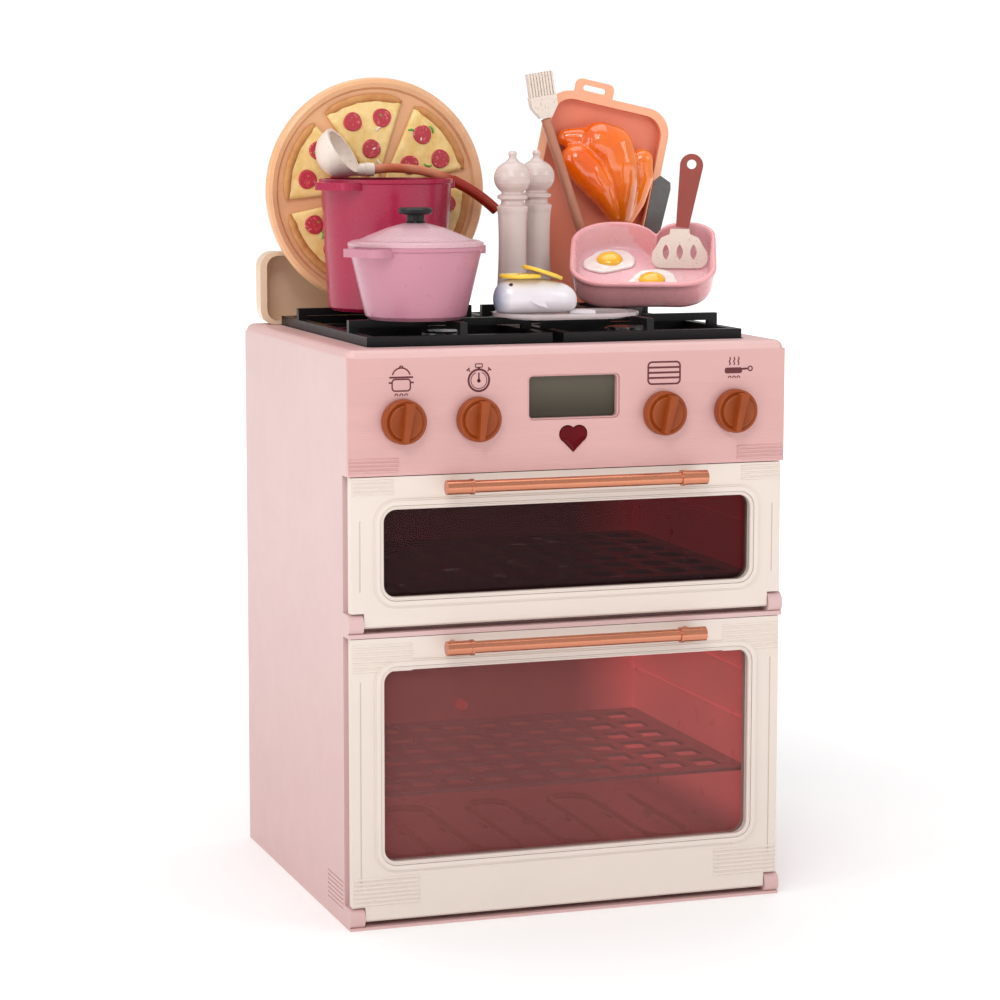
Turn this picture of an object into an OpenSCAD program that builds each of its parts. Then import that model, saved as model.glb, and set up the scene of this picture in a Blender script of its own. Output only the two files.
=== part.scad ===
// Toy double oven for dolls: a hob with cookware, a control panel and two ovens
// with drop-down doors. Origin: centre of the base on the floor. +X is the
// right-hand side, -Y the front, +Z up. Millimetres.

/* [Body] */
// Width of the body
body_w = 195; // [190:1:230]
// Depth of the body, from the door fronts to the rear cover
body_d = 172; // [165:1:205]
// Height of the body below the top frame
body_h = 240; // [236:1:280]
// Thickness of the side walls
wall = 2.5; // [1.6:0.1:3.2]
// Height of the rounded top frame
cap_h = 3.5; // [2.5:0.5:5]
// Width of the pink margin round the hob
hob_margin = 12.5; // [9:0.5:16]

/* [Doors] */
// Thickness of a door, front face to back face
door_t = 7.6; // [7.4:0.1:9]
// Distance of a hinge axis behind the door front
hinge_back = 3.4; // [3.2:0.1:4]
// Radius of a hinge pin
pin_r = 1.0; // [0.8:0.05:1.2]
// Radius of a hinge ear
ear_r = 4.4; // [4:0.1:4.8]
// Width of a hinge ear
ear_w = 6.4; // [5:0.2:8]
// Width of the windows
window_w = 165.6; // [150:0.2:170]
// Height of the lower window
lower_window_h = 82.6; // [70:0.2:86]
// Height of the upper window
upper_window_h = 37.8; // [30:0.2:40]
// Corner radius of the windows
window_r = 6; // [4:0.5:9]

/* [Handles] */
// Length of a handle bar
handle_len = 116; // [90:1:130]
// Radius of a handle tube
handle_r = 2.6; // [2:0.1:3.2]
// Distance of the handle's centre line in front of the door
handle_out = 9; // [7:0.5:12]

/* [Controls] */
// Radius of a knob
knob_r = 9.4; // [8:0.1:10.5]
// Radius of a knob's shaft
shaft_r = 2.5; // [2:0.1:3.2]
// Side of the square that the heart button is drawn on
heart_side = 7; // [6:0.1:8]
// How far the heart button travels
heart_travel = 1; // [0.6:0.1:1.2]

/* [Hob] */
// Height of the pan supports above the hob plate
support_h = 9.5; // [8:0.5:12]
// Width of a pan support's bars
bar_w = 4.2; // [3:0.2:5]

/* [Cookware] */
// Rim radius of the lidded pot
sauce_rim_r = 28; // [24:0.5:29]
// Height of the lidded pot
sauce_h = 31; // [26:0.5:36]
// Rim radius of the stock pot
stock_rim_r = 29; // [25:0.5:29.5]
// Height of the stock pot
stock_h = 58; // [48:0.5:60]
// Wall thickness of the pots
pot_wall = 1.8; // [1.2:0.1:2.4]
// Radius of the round board
board_r = 51.5; // [46:0.5:54]
// Length of the frying pan, front to back
pan_len = 57; // [50:0.5:60]
// Tilt of the frying pan
pan_tilt = 26; // [20:1:30]

/* [Hidden] */
$fn = 48;

PINK = [0.93, 0.76, 0.74];
PANEL_PINK = [0.89, 0.66, 0.65];
CREAM = [0.92, 0.85, 0.79];
COPPER = [0.80, 0.48, 0.33];
BLACK = [0.12, 0.11, 0.12];
SMOKE = [0.35, 0.08, 0.10, 0.6];
RED = [0.60, 0.12, 0.13, 0.8];
CARAMEL = [0.72, 0.33, 0.14];
STEEL = [0.70, 0.70, 0.72];

// Clearances: a shaft in its hole, a seam, a loose piece on its seat
run_gap = 0.05;
seam = 0.2;
seat = 0.3;
eps = 0.01;

// Main planes
half_w = body_w / 2;
front_y = -body_d / 2;
rear_y = body_d / 2;
face_t = 2.5;
swing_gap = 0.8;
face_y = front_y + door_t + swing_gap;
hinge_y = front_y + hinge_back;
cover_t = 2.5;
deck_t = 2;
top_z = body_h + cap_h;

// Heights up the front
door_over = 1.5;
lower_axis_z = 4.9;
base_lip_t = 1.2;
lower_door_z0 = lower_axis_z - door_over;
mid_lip_t = 1.8;
mid_lip_drop = 3.7;
upper_axis_z = 129.5;
mid_lip_z1 = upper_axis_z - mid_lip_drop;
mid_lip_z0 = mid_lip_z1 - mid_lip_t;
lower_door_z1 = mid_lip_z0 - 0.3;
upper_door_z0 = upper_axis_z - door_over;
panel_h = 48.6;
panel_z0 = body_h - panel_h;
upper_door_z1 = panel_z0 - 0.4;
door_half_w = half_w - 1.1;
lower_window_z0 = 27.9;
upper_window_z0 = 140.1;

// Door shells
shell_t = 4.6;
glass_t = 1.6;
glass_lap = 3;
knuckle_x = half_w - ear_w;
ear_clear = 0.4;

// Handles
sleeve_len = 11;
sleeve_r = handle_r + 0.45;
post_r = 2;
handle_below = 4.2;

// Ovens
liner_t = 1.5;
cavity_half_w = half_w - 9.5;
cavity_y1 = 64.5;
lower_floor_z = 19;
lower_roof_z = 117.5;
upper_floor_z = mid_lip_z1 + liner_t;
upper_roof_z = panel_z0 - 4.7;
opening_half_w = cavity_half_w - 0.5;
lower_rack_z = 53.5;
upper_rack_z = 139.3;
rack_gap = 0.4;
shelf_z = panel_z0 - 3;
ledge_w = 1.2;
ledge_h = 2;

// Controls
panel_t = 2.5;
panel_back_y = front_y + panel_t;
knob_z = body_h - 26.2;
knob_step = 32.5;
knob_inner_x = 41.5;
knob_x = [-knob_inner_x - knob_step, -knob_inner_x, knob_inner_x, knob_inner_x + knob_step];
knob_turn = [8, 6, 14, 12];
knob_depth = 5;
display_x = 1.1;
display_z = body_h - 18.1;
display_w = 41.2;
display_h = 19;
heart_x = 0.9;
heart_z = body_h - 36.4;
heart_gap = 0.15;
board_y = panel_back_y + 4;
chip_z = body_h - 28;

// Hob and its supports
hob_half_w = half_w - hob_margin;
hob_half_d = body_d / 2 - hob_margin;
plate_z = body_h + cap_h - 0.3;
bar_z = plate_z + 4.3;
grid_z = plate_z + support_h;
arm_h = 3.2;
arm_w = 3.2;
grate_in = 2.5;
grate_out = hob_half_w - 0.7;
grate_half_d = hob_half_d - 4;
cross_y = 12;
burner_x = 42;
burner_y = 41;
burner_r = 16;
arm_reach = 8;

// Rear of the case
boss_z = [22, body_h / 2, body_h - 22];
boss_x = half_w - wall - 5;
boss_len = 14;
screw_r = 1.25;
screw_head_r = 2.7;
battery_w = 52;
battery_h = 36;
battery_z = body_h - 34;
speaker_x = 62;
speaker_z = body_h - 26;
speaker_r = 14;
lamp_z = 62;
lamp_r = 2.5;

// Places of the cookware
sauce_at = [-54.5, -42];
sauce_foot_r = 21.6;
sauce_z = grid_z + 0.1;
stock_at = [-49, 20];
stock_foot_r = 26;
stock_z = grid_z + 0.1;
pot_turn = 30;
board_x = -43;
board_t = 6;
pizza_t = 3.2;
board_y0 = stock_at[1] + stock_rim_r + 1 + pizza_t + 2 * seat;
board_zc = grid_z + 0.1 + board_r;
pan_x = 53.5;
pan_w = 64;
pan_d = 14.5;
pan_r = 18;
pan_wall = 2;
pan_turn = -22;
pan_y = -31;
pan_z = grid_z + 0.2;
pan_reach = sqrt(pow(sin(pan_turn), 2) + pow(cos(pan_turn) * cos(pan_tilt), 2));
pan_back_y = pan_y + (pan_w / 2 - pan_r) * sin(-pan_turn)
    + (pan_len - pan_r) * cos(pan_tilt) * cos(pan_turn) + (pan_r + 0.6) * pan_reach;
rack_y = pan_back_y + seat;

// Rectangle with round corners, centred
module round_rect(w, h, r) {
    square([w - 2 * r, h], center = true);
    square([w, h - 2 * r], center = true);
    for (sx = [-1, 1], sy = [-1, 1])
        translate([sx * (w / 2 - r), sy * (h / 2 - r)]) circle(r);
}

// Puts a drawing of X and Z on a plane that faces the front, thickness t behind y
module upright(y, t) {
    translate([0, y + t, 0]) rotate([90, 0, 0]) linear_extrude(t) children();
}

// Box given by its two corners
module block(lo, hi) {
    translate(lo) cube(hi - lo);
}

// Both sides of the body
module both_sides() {
    children();
    mirror([1, 0, 0]) children();
}

// Round bar from a to b
module rod(a, b, r) {
    v = b - a;
    len = norm(v);
    translate(a)
        rotate([0, acos(v[2] / len), atan2(v[1], v[0])])
            cylinder(h = len, r = r);
}

// Round bar along a list of points, with slightly larger ball joints
module rod_path(points, r) {
    for (i = [0 : len(points) - 2]) rod(points[i], points[i + 1], r);
    for (i = [1 : len(points) - 2]) translate(points[i]) sphere(r * 1.06);
}

// Row of raised ribs that run along X, from x0 to x1, the lowest at z0
module rib_rows(x0, x1, z0, count, pitch, y) {
    rib_r = 0.55;
    for (i = [0 : count - 1])
        translate([x0, y, z0 + i * pitch])
            rotate([0, 90, 0]) cylinder(h = x1 - x0, r = rib_r, $fn = 20);
}

// Hinge ear: a rounded lug that the pin goes through, for one side
module ear(axis_z, foot_z) {
    difference() {
        union() {
            translate([knuckle_x, hinge_y, axis_z])
                rotate([0, 90, 0]) cylinder(h = ear_w, r = ear_r);
            block([knuckle_x, hinge_y, foot_z], [half_w, face_y + eps, axis_z + ear_r]);
        }
        translate([knuckle_x - 1, hinge_y, axis_z])
            rotate([0, 90, 0]) cylinder(h = ear_w, r = pin_r);
    }
}

module boss_holes(z0) {
    translate([boss_x, rear_y - cover_t - boss_len + 3, z0])
        rotate([-90, 0, 0]) cylinder(h = boss_len, r = screw_r);
}

module cabinet() {
    color(PINK) difference() {
        union() {
            both_sides() {
                block([half_w - wall, face_y, 0], [half_w, rear_y, body_h]);
                for (z = boss_z)
                    block([boss_x - 4, rear_y - cover_t - boss_len, z - 4],
                          [half_w - wall + eps, rear_y - cover_t, z + 4]);
                ear(lower_axis_z, 0);
                ear(upper_axis_z, mid_lip_z0);
            }
            // Front plate round the ovens
            block([-half_w + wall - eps, face_y, 0],
                  [half_w - wall + eps, face_y + face_t, panel_z0]);
            // Lips under the doors; the middle one runs back as a shelf
            block([-half_w, front_y, 0], [half_w, face_y + eps, base_lip_t]);
            block([-half_w, front_y, mid_lip_z0], [half_w, face_y + eps, mid_lip_z1]);
            block([-half_w + eps, face_y, mid_lip_z0], [half_w - eps, cavity_y1, mid_lip_z1]);
            // Floor of the electronics bay, and the deck under the hob
            block([-half_w + eps, face_y, shelf_z], [half_w - eps, cavity_y1, panel_z0]);
            block([-half_w + eps, panel_back_y, body_h - deck_t],
                  [half_w - eps, rear_y - cover_t - seam, body_h]);
            // Side returns behind the control panel
            both_sides()
                block([half_w - wall, panel_back_y, panel_z0], [half_w, face_y + eps, body_h]);
            // Floor frame in front of and behind the base plate
            block([-half_w + eps, face_y, 0], [half_w - eps, face_y + 8, 2.5]);
            block([-half_w + eps, rear_y - cover_t - 8, 0],
                  [half_w - eps, rear_y - cover_t - seam, 2.5]);
        }
        // Oven mouths
        upright(face_y - 1, face_t + 2)
            translate([0, (lower_floor_z + 2 + lower_roof_z) / 2])
                round_rect(2 * opening_half_w, lower_roof_z - lower_floor_z - 2, window_r);
        upright(face_y - 1, face_t + 2)
            translate([0, (upper_floor_z + 4 + upper_roof_z) / 2])
                round_rect(2 * opening_half_w, upper_roof_z - upper_floor_z - 4, window_r);
        both_sides() for (z = boss_z) boss_holes(z);
        both_sides() side_lines();
    }
}

// Faint moulded lines at the bottom front of a side wall
module side_lines() {
    groove = 0.3;
    for (i = [0 : 6])
        block([half_w - groove, face_y + 2, 7 + i * 1.9],
              [half_w + 1, face_y + 26, 7.6 + i * 1.9]);
}

// Slab with its upper edges and its corners rounded
module soft_slab(w, d, r) {
    intersection() {
        union() {
            translate([-w / 2 + r, -d / 2 + r, 0]) cube([w - 2 * r, d - 2 * r, r]);
            for (sx = [-1, 1]) {
                translate([sx * (w / 2 - r), -d / 2 + r, 0])
                    rotate([-90, 0, 0]) cylinder(h = d - 2 * r, r = r);
                for (sy = [-1, 1])
                    translate([sx * (w / 2 - r), sy * (d / 2 - r), 0]) sphere(r);
            }
            for (sy = [-1, 1])
                translate([-w / 2 + r, sy * (d / 2 - r), 0])
                    rotate([0, 90, 0]) cylinder(h = w - 2 * r, r = r);
        }
        translate([-w, -d, 0]) cube([2 * w, 2 * d, r + 1]);
    }
}

module top_frame() {
    color(PINK) difference() {
        translate([0, 0, body_h]) soft_slab(body_w, body_d, cap_h);
        translate([0, 0, body_h - 1])
            linear_extrude(cap_h + 2)
                round_rect(2 * hob_half_w, 2 * hob_half_d, 3);
    }
}

module base_plate() {
    y0 = face_y + 8 + seam;
    y1 = rear_y - cover_t - 8 - seam;
    x1 = half_w - wall - seam;
    color(PINK) union() {
        block([-x1, y0, 0], [x1, y1, 2.5]);
        // Rails that carry the lower oven
        both_sides()
            block([58, y0 + 4, 2.5 - eps], [61, cavity_y1 - 4, lower_floor_z - liner_t]);
        // Lugs that reach under the cabinet's floor frame
        for (x = [-60, 0, 60]) {
            block([x - 6, y0 - 4, 2.5], [x + 6, y0 + 4, 4.5]);
            block([x - 6, y1 - 4, 2.5], [x + 6, y1 + 4, 4.5]);
        }
    }
}

module rear_cover() {
    x1 = half_w - wall - seam;
    y0 = rear_y - cover_t;
    color(PINK) difference() {
        block([-x1, y0, seam], [x1, rear_y, body_h - seam]);
        // Mouth of the battery box
        upright(y0 - 1, cover_t + 2) battery_outline(0);
        // Sound slots
        for (i = [-3 : 3])
            translate([-speaker_x, y0 - 1, speaker_z + i * 3.2])
                rotate([-90, 0, 0])
                    linear_extrude(cover_t + 2)
                        round_rect(2 * sqrt(144 - pow(i * 3.2, 2)), 1.5, 0.7);
        both_sides() for (z = boss_z) {
            translate([boss_x, y0 - 1, z])
                rotate([-90, 0, 0]) cylinder(h = cover_t + 2, r = screw_r + 0.3);
            translate([boss_x, rear_y - 1.6, z])
                rotate([-90, 0, 0]) cylinder(h = 2, r = screw_head_r + 0.3);
        }
        // Shallow cooling louvres behind the ovens
        for (i = [0 : 5]) {
            block([-40, rear_y - 0.8, 80 + i * 6], [40, rear_y + 1, 82 + i * 6]);
            block([-40, rear_y - 0.8, 150 + i * 5], [40, rear_y + 1, 151.6 + i * 5]);
        }
    }
}

// Cross-headed screw along +Y, its head's outer face at the origin
module screw(len) {
    difference() {
        union() {
            rotate([90, 0, 0]) cylinder(h = 1.5, r = screw_head_r);
            rotate([90, 0, 0]) cylinder(h = len, r = screw_r);
        }
        for (a = [0, 90])
            rotate([0, a, 0]) translate([-1.6, -0.7, -0.3]) cube([3.2, 1, 0.6]);
    }
}

module case_screws() {
    color(STEEL) {
        both_sides() for (z = boss_z) translate([boss_x, rear_y - 0.1, z]) screw(11);
        translate([0, rear_y - 0.1, battery_z + battery_h / 2 + 5.5]) screw(9);
    }
}

// Outline of the battery door with its screw tab, shrunk by g
module battery_outline(g) {
    translate([0, battery_z]) round_rect(battery_w + 2 - 2 * g, battery_h + 2 - 2 * g, 2);
    translate([0, battery_z + battery_h / 2 + 4]) square([14 - 2 * g, 12 - 2 * g], center = true);
}

// The electronics bay's battery box, open to the rear
module battery_box() {
    depth = 14;
    y1 = rear_y - cover_t;
    w = battery_w + 4;
    h = battery_h + 4;
    color(BLACK) difference() {
        union() {
            block([-w / 2, y1 - depth, battery_z - h / 2], [w / 2, y1, battery_z + h / 2]);
            block([-5, y1 - 8, battery_z + h / 2 - eps],
                  [5, y1, battery_z + battery_h / 2 + 9]);
        }
        block([-battery_w / 2, y1 - depth + 1.5, battery_z - battery_h / 2],
              [battery_w / 2, y1 + 1, battery_z + battery_h / 2]);
        translate([0, y1 - 9, battery_z + battery_h / 2 + 5.5])
            rotate([-90, 0, 0]) cylinder(h = 10, r = screw_r);
    }
}

module batteries() {
    r = 5.2;
    y = rear_y - cover_t - 14 + 1.5 + r + 0.1;
    color([0.75, 0.45, 0.2]) for (i = [-1 : 1])
        translate([-22, y, battery_z + i * 11.6])
            rotate([0, 90, 0]) {
                cylinder(h = 43, r = r);
                cylinder(h = 44.3, r = 1.8);
            }
}

module battery_door() {
    y0 = rear_y - cover_t;
    color(PINK) difference() {
        upright(y0, cover_t) battery_outline(seam);
        // Finger grooves, and the hole for the screw
        for (i = [0 : 4])
            block([-12, rear_y - 0.6, battery_z - 12 + i * 2.4],
                  [12, rear_y + 1, battery_z - 11 + i * 2.4]);
        translate([0, y0 - 1, battery_z + battery_h / 2 + 5.5]) rotate([-90, 0, 0]) {
            cylinder(h = cover_t + 2, r = screw_r + 0.3);
            translate([0, 0, 1.9]) cylinder(h = 3, r = screw_head_r + 0.3);
        }
    }
}

module control_panel() {
    color(PANEL_PINK) difference() {
        union() {
            block([-half_w, front_y, panel_z0], [half_w, panel_back_y, body_h]);
            both_sides() rib_rows(75.8, half_w - 0.6, panel_z0 + 2, 4, 1.6, front_y + 0.05);
            // Posts that carry the main board
            for (x = [-86, -26, 26, 86], z = [heart_z, body_h - 6])
                translate([x, panel_back_y - eps, z])
                    rotate([-90, 0, 0]) cylinder(h = board_y - panel_back_y + eps, r = 1.8);
        }
        upright(front_y - 1, panel_t + 2)
            translate([display_x, display_z]) round_rect(display_w, display_h, 2.5);
        for (x = knob_x)
            translate([x, front_y - 1, knob_z])
                rotate([-90, 0, 0]) cylinder(h = panel_t + 2, r = shaft_r + run_gap);
        upright(front_y - 1, panel_t + 2)
            translate([heart_x, heart_z]) heart(heart_side + 2 * heart_gap);
    }
}

// Heart drawn on a square of side s that stands on its corner
module heart(s) {
    rotate(45) square(s, center = true);
    for (sx = [-1, 1])
        translate([sx * s / (2 * sqrt(2)), s / (2 * sqrt(2))]) circle(s * 0.515);
}

module display_bezel() {
    color(PANEL_PINK) difference() {
        union() {
            upright(front_y + 0.9, panel_t - 0.9 + eps)
                translate([display_x, display_z])
                    round_rect(display_w - 0.2, display_h - 0.2, 2.4);
            upright(panel_back_y, 1)
                translate([display_x, display_z])
                    round_rect(display_w + 1.6, display_h + 1.2, 3);
        }
        for (i = [0 : 2])
            upright(front_y + 0.5 + i, 4)
                translate([display_x, display_z])
                    round_rect(display_w - 2 - i * 1.1, display_h - 1.4 - i * 1.0, 1.6 - i * 0.4);
    }
}

module display_glass() {
    color([0.35, 0.36, 0.30])
        upright(panel_back_y + 1, board_y - panel_back_y - 1)
            translate([display_x, display_z]) round_rect(display_w, display_h, 1);
}

module main_board() {
    color([0.1, 0.4, 0.2]) union() {
        block([-90, board_y, heart_z - 6], [90, board_y + 1.5, body_h - deck_t - 1]);
        // Switch behind the heart, chips and a connector
        translate([heart_x, board_y - 1.3, heart_z])
            rotate([-90, 0, 0]) cylinder(h = 1.3 + eps, r = 2.5);
        block([-20, board_y + 1.5 - eps, chip_z], [-8, board_y + 3.2, chip_z + 10]);
        block([16, board_y + 1.5 - eps, chip_z - 6], [26, board_y + 6, chip_z]);
    }
}

// Ribbon cables: to the batteries, to the speaker and down to the lamp
module wire_loom() {
    t = 0.8;
    z = panel_z0;
    y0 = board_y + 1.5;
    y1 = cavity_y1 + 3;
    y2 = rear_y - cover_t;
    color([0.7, 0.1, 0.1]) {
        block([-6, y0, z], [2, y1 + t, z + t]);
        block([-6, y0, z], [2, y0 + t, chip_z - 1]);
        block([-6, y1, lamp_z + lamp_r], [2, y1 + t, z + t]);
        block([6, y0, z], [14, y1 + t, z + t]);
        block([6, y0, z], [14, y0 + t, chip_z - 7]);
        block([6, y1, z], [14, y1 + t, battery_z - 6]);
        block([6, y1, battery_z - 6], [14, y2 - 14, battery_z - 6 + t]);
        block([-18, y0, z], [-10, y1 + t, z + t]);
        block([-18, y0, z], [-10, y0 + t, chip_z - 1]);
        block([-speaker_x - 4, y1, z], [-10, y1 + t, z + 6]);
        block([-speaker_x - 4, y1, z], [-speaker_x + 4, y1 + t, speaker_z + t]);
        block([-speaker_x - 4, y1, speaker_z], [-speaker_x + 4, y2 - 7, speaker_z + t]);
    }
}

module speaker() {
    y1 = rear_y - cover_t;
    color(STEEL) translate([-speaker_x, y1, speaker_z]) rotate([90, 0, 0]) rotate_extrude()
        polygon([[0, 3], [4, 2], [speaker_r - 3, 0], [speaker_r, 0], [speaker_r, 1.5],
                 [speaker_r - 4, 4], [7, 4], [7, 7], [0, 7]]);
}

module oven_lamp() {
    color([0.9, 0.2, 0.1]) translate([0, cavity_y1 - 4, lamp_z]) rotate([-90, 0, 0]) {
        cylinder(h = 11.2, r = lamp_r);
        sphere(lamp_r);
        translate([0, 0, 4 + liner_t]) cylinder(h = 1, r = lamp_r + 1);
    }
}

module heart_button() {
    flange_y = panel_back_y + 0.3;
    color([0.55, 0.02, 0.08]) union() {
        upright(front_y - 0.9, flange_y + 1 - front_y + 0.9)
            translate([heart_x, heart_z]) heart(heart_side);
        upright(front_y - 1.5, 1)
            translate([heart_x, heart_z]) heart(heart_side - 1.6);
        upright(flange_y, 1)
            translate([heart_x, heart_z]) heart(heart_side + 1.8);
    }
}

// Knob: a ring, a raised disc inside it, a wedge grip, and a snap collar behind the panel
module knob(i) {
    disc_r = knob_r - 2.5;
    color(CARAMEL) translate([knob_x[i], front_y, knob_z]) rotate([90, 0, 0])
        rotate([0, 0, -knob_turn[i]]) union() {
            translate([0, 0, -panel_t - 2]) cylinder(h = panel_t + 2.4, r = shaft_r);
            translate([0, 0, -panel_t - 1.3]) cylinder(h = 1, r = shaft_r + 0.8);
            rotate_extrude()
                polygon([[0, seat], [knob_r - 0.4, seat], [knob_r, seat + 0.4],
                         [knob_r - 0.1, knob_depth - 1.0], [knob_r - 0.4, knob_depth - 0.3],
                         [knob_r - 1.0, knob_depth], [disc_r + 0.3, knob_depth - 0.5],
                         [disc_r + 0.1, knob_depth + 0.7], [disc_r - 0.3, knob_depth + 1.0],
                         [0, knob_depth + 0.6]]);
            translate([0, 0, knob_depth - 1])
                linear_extrude(5.2)
                    polygon([[-1.1, -8.1], [1.1, -8.1], [1.9, 7.3], [1.3, 8.0],
                             [-1.3, 8.0], [-1.9, 7.3]]);
        }
}

module knob_1() knob(0);
module knob_2() knob(1);
module knob_3() knob(2);
module knob_4() knob(3);

module hob_plate() {
    color(BLACK) union() {
        translate([0, 0, body_h])
            linear_extrude(plate_z - body_h)
                round_rect(2 * (hob_half_w - seam), 2 * (hob_half_d - seam), 3);
        for (sx = [-1, 1], sy = [-1, 1])
            translate([sx * burner_x, sy * burner_y, plate_z - eps]) rotate_extrude()
                polygon([[0, 0], [burner_r, 0], [burner_r, 0.8], [burner_r - 3, 1.4],
                         [burner_r - 4, 1.0], [10, 1.0], [9.6, 3.6], [8.6, 4.3], [0, 4.3]]);
    }
}

// Cast pan support for one half of the hob, drawn for the right-hand side
module pan_support() {
    x0 = grate_in;
    x1 = grate_out;
    yd = grate_half_d;
    union() {
        for (sy = [-1, 1]) {
            block([x0, sy > 0 ? yd - bar_w : -yd, plate_z],
                  [x1, sy > 0 ? yd : -yd + bar_w, bar_z]);
            block([x0, sy * cross_y - bar_w / 2, plate_z],
                  [x1, sy * cross_y + bar_w / 2, bar_z]);
        }
        block([x0, -yd, plate_z], [x0 + bar_w, yd, bar_z]);
        block([x1 - bar_w, -yd, plate_z], [x1, yd, bar_z]);
        for (sy = [-1, 1]) {
            cy = sy * burner_y;
            // Fingers to the burner from the left, the right, the edge and the cross bar
            finger([x0, cy - arm_w / 2], [burner_x - arm_reach, cy + arm_w / 2], [x0, cy], bar_w, 0);
            finger([burner_x + arm_reach, cy - arm_w / 2], [x1, cy + arm_w / 2],
                   [x1 - bar_w, cy], bar_w, 0);
            finger([burner_x - arm_w / 2, sy > 0 ? cy + arm_reach : -yd],
                   [burner_x + arm_w / 2, sy > 0 ? yd : cy - arm_reach],
                   [burner_x, sy > 0 ? yd - bar_w : -yd], bar_w, 1);
            finger([burner_x - arm_w / 2, sy > 0 ? cross_y : cy + arm_reach],
                   [burner_x + arm_w / 2, sy > 0 ? cy - arm_reach : -cross_y],
                   [burner_x, sy * cross_y - bar_w / 2], bar_w, 1);
        }
    }
}

// One raised finger: an arm at the top and a post down to its bar
module finger(lo, hi, post, w, along_y) {
    block([lo[0], lo[1], grid_z - arm_h], [hi[0], hi[1], grid_z]);
    px = along_y > 0 ? post[0] - arm_w / 2 : post[0];
    py = along_y > 0 ? post[1] : post[1] - arm_w / 2;
    block([px, py, bar_z - eps],
          [px + (along_y > 0 ? arm_w : w), py + (along_y > 0 ? w : arm_w), grid_z]);
}

module left_pan_support() color(BLACK) mirror([1, 0, 0]) pan_support();
module right_pan_support() color(BLACK) pan_support();

// Oven liner: a box open to the front, with ledges for the rack
module liner(floor_z, roof_z, ledges) {
    difference() {
        block([-cavity_half_w - liner_t, face_y + face_t, floor_z - liner_t],
              [cavity_half_w + liner_t, cavity_y1 + liner_t, roof_z + liner_t]);
        block([-cavity_half_w, face_y, floor_z], [cavity_half_w, cavity_y1, roof_z]);
    }
    both_sides() for (z = ledges)
        block([cavity_half_w - ledge_w, face_y + face_t, z - ledge_h],
              [cavity_half_w + eps, cavity_y1 + eps, z]);
}

module upper_liner() {
    color(RED) liner(upper_floor_z, upper_roof_z, [upper_rack_z, upper_rack_z + 24]);
}

module lower_liner() {
    color(RED) difference() {
        liner(lower_floor_z, lower_roof_z, [lower_rack_z, lower_rack_z + 22, lower_rack_z + 44]);
        translate([0, cavity_y1 - 1, lamp_z])
            rotate([-90, 0, 0]) cylinder(h = liner_t + 2, r = lamp_r + run_gap);
    }
}

// Rack: a plate with rows of rectangular holes
module rack(z, t) {
    cols = 10;
    rows = 6;
    hole = [11.5, 14];
    half = cavity_half_w - rack_gap;
    y0 = face_y + face_t + 1;
    y1 = cavity_y1 - 2;
    step_x = 2 * (half - 6) / cols;
    step_y = (y1 - y0 - 8) / rows;
    difference() {
        block([-half, y0, z], [half, y1, z + t]);
        for (i = [0 : cols - 1], j = [0 : rows - 1])
            translate([-half + 6 + (i + 0.5) * step_x, y0 + 4 + (j + 0.5) * step_y, z - 1])
                linear_extrude(t + 2) square(hole, center = true);
    }
}

module upper_rack() color(BLACK) rack(upper_rack_z, 2.4);
module lower_rack() color(BLACK) rack(lower_rack_z, 1.6);

// Wavy heater on the lower oven's floor
module heating_element() {
    r = 1.6;
    runs = 8;
    pitch = 20;
    y0 = -48;
    y1 = 22;
    z = lower_floor_z + 1.2 + r;
    x0 = -pitch * (runs - 1) / 2;
    color([1.0, 0.35, 0.1]) union() {
        for (i = [0 : runs - 1])
            rod([x0 + i * pitch, y0, z], [x0 + i * pitch, y1, z], r);
        for (i = [0 : runs - 2])
            translate([x0 + (i + 0.5) * pitch, i % 2 == 0 ? y0 : y1, z])
                rotate([0, 0, i % 2 == 0 ? 180 : 0])
                    rotate_extrude(angle = 180) translate([pitch / 2, 0]) circle(r, $fn = 24);
        for (i = [0 : runs - 1])
            block([x0 + i * pitch - 1.5, -6, lower_floor_z], [x0 + i * pitch + 1.5, 0, z]);
    }
}

module hinge_pins() {
    len = ear_w + 3.4;
    color(STEEL) both_sides() for (z = [lower_axis_z, upper_axis_z])
        translate([half_w - 1 - len, hinge_y, z]) rotate([0, 90, 0]) cylinder(h = len, r = pin_r);
}

// Outline of a door with the corners left free for the hinge ears
module door_outline(z0, z1, axis_z) {
    difference() {
        translate([-door_half_w, z0]) square([2 * door_half_w, z1 - z0]);
        for (sx = [-1, 1])
            translate([sx > 0 ? knuckle_x - ear_clear : -half_w - 1, z0 - 1])
                square([half_w + 1 - knuckle_x + ear_clear, axis_z + ear_r + 0.5 - z0 + 1]);
    }
}

// Raised double bead round a window
module window_bead(zc, w, h) {
    for (step = [[3.7, 2.9, 0.5], [3.0, 1.1, 0.95], [0.9, 0, 0.6]])
        upright(front_y - step[2] + 0.3, step[2])
            difference() {
                translate([0, zc]) round_rect(w + 2 * step[0], h + 2 * step[0], window_r + step[0]);
                translate([0, zc]) round_rect(w + 2 * step[1], h + 2 * step[1], window_r + step[1]);
            }
}

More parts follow.
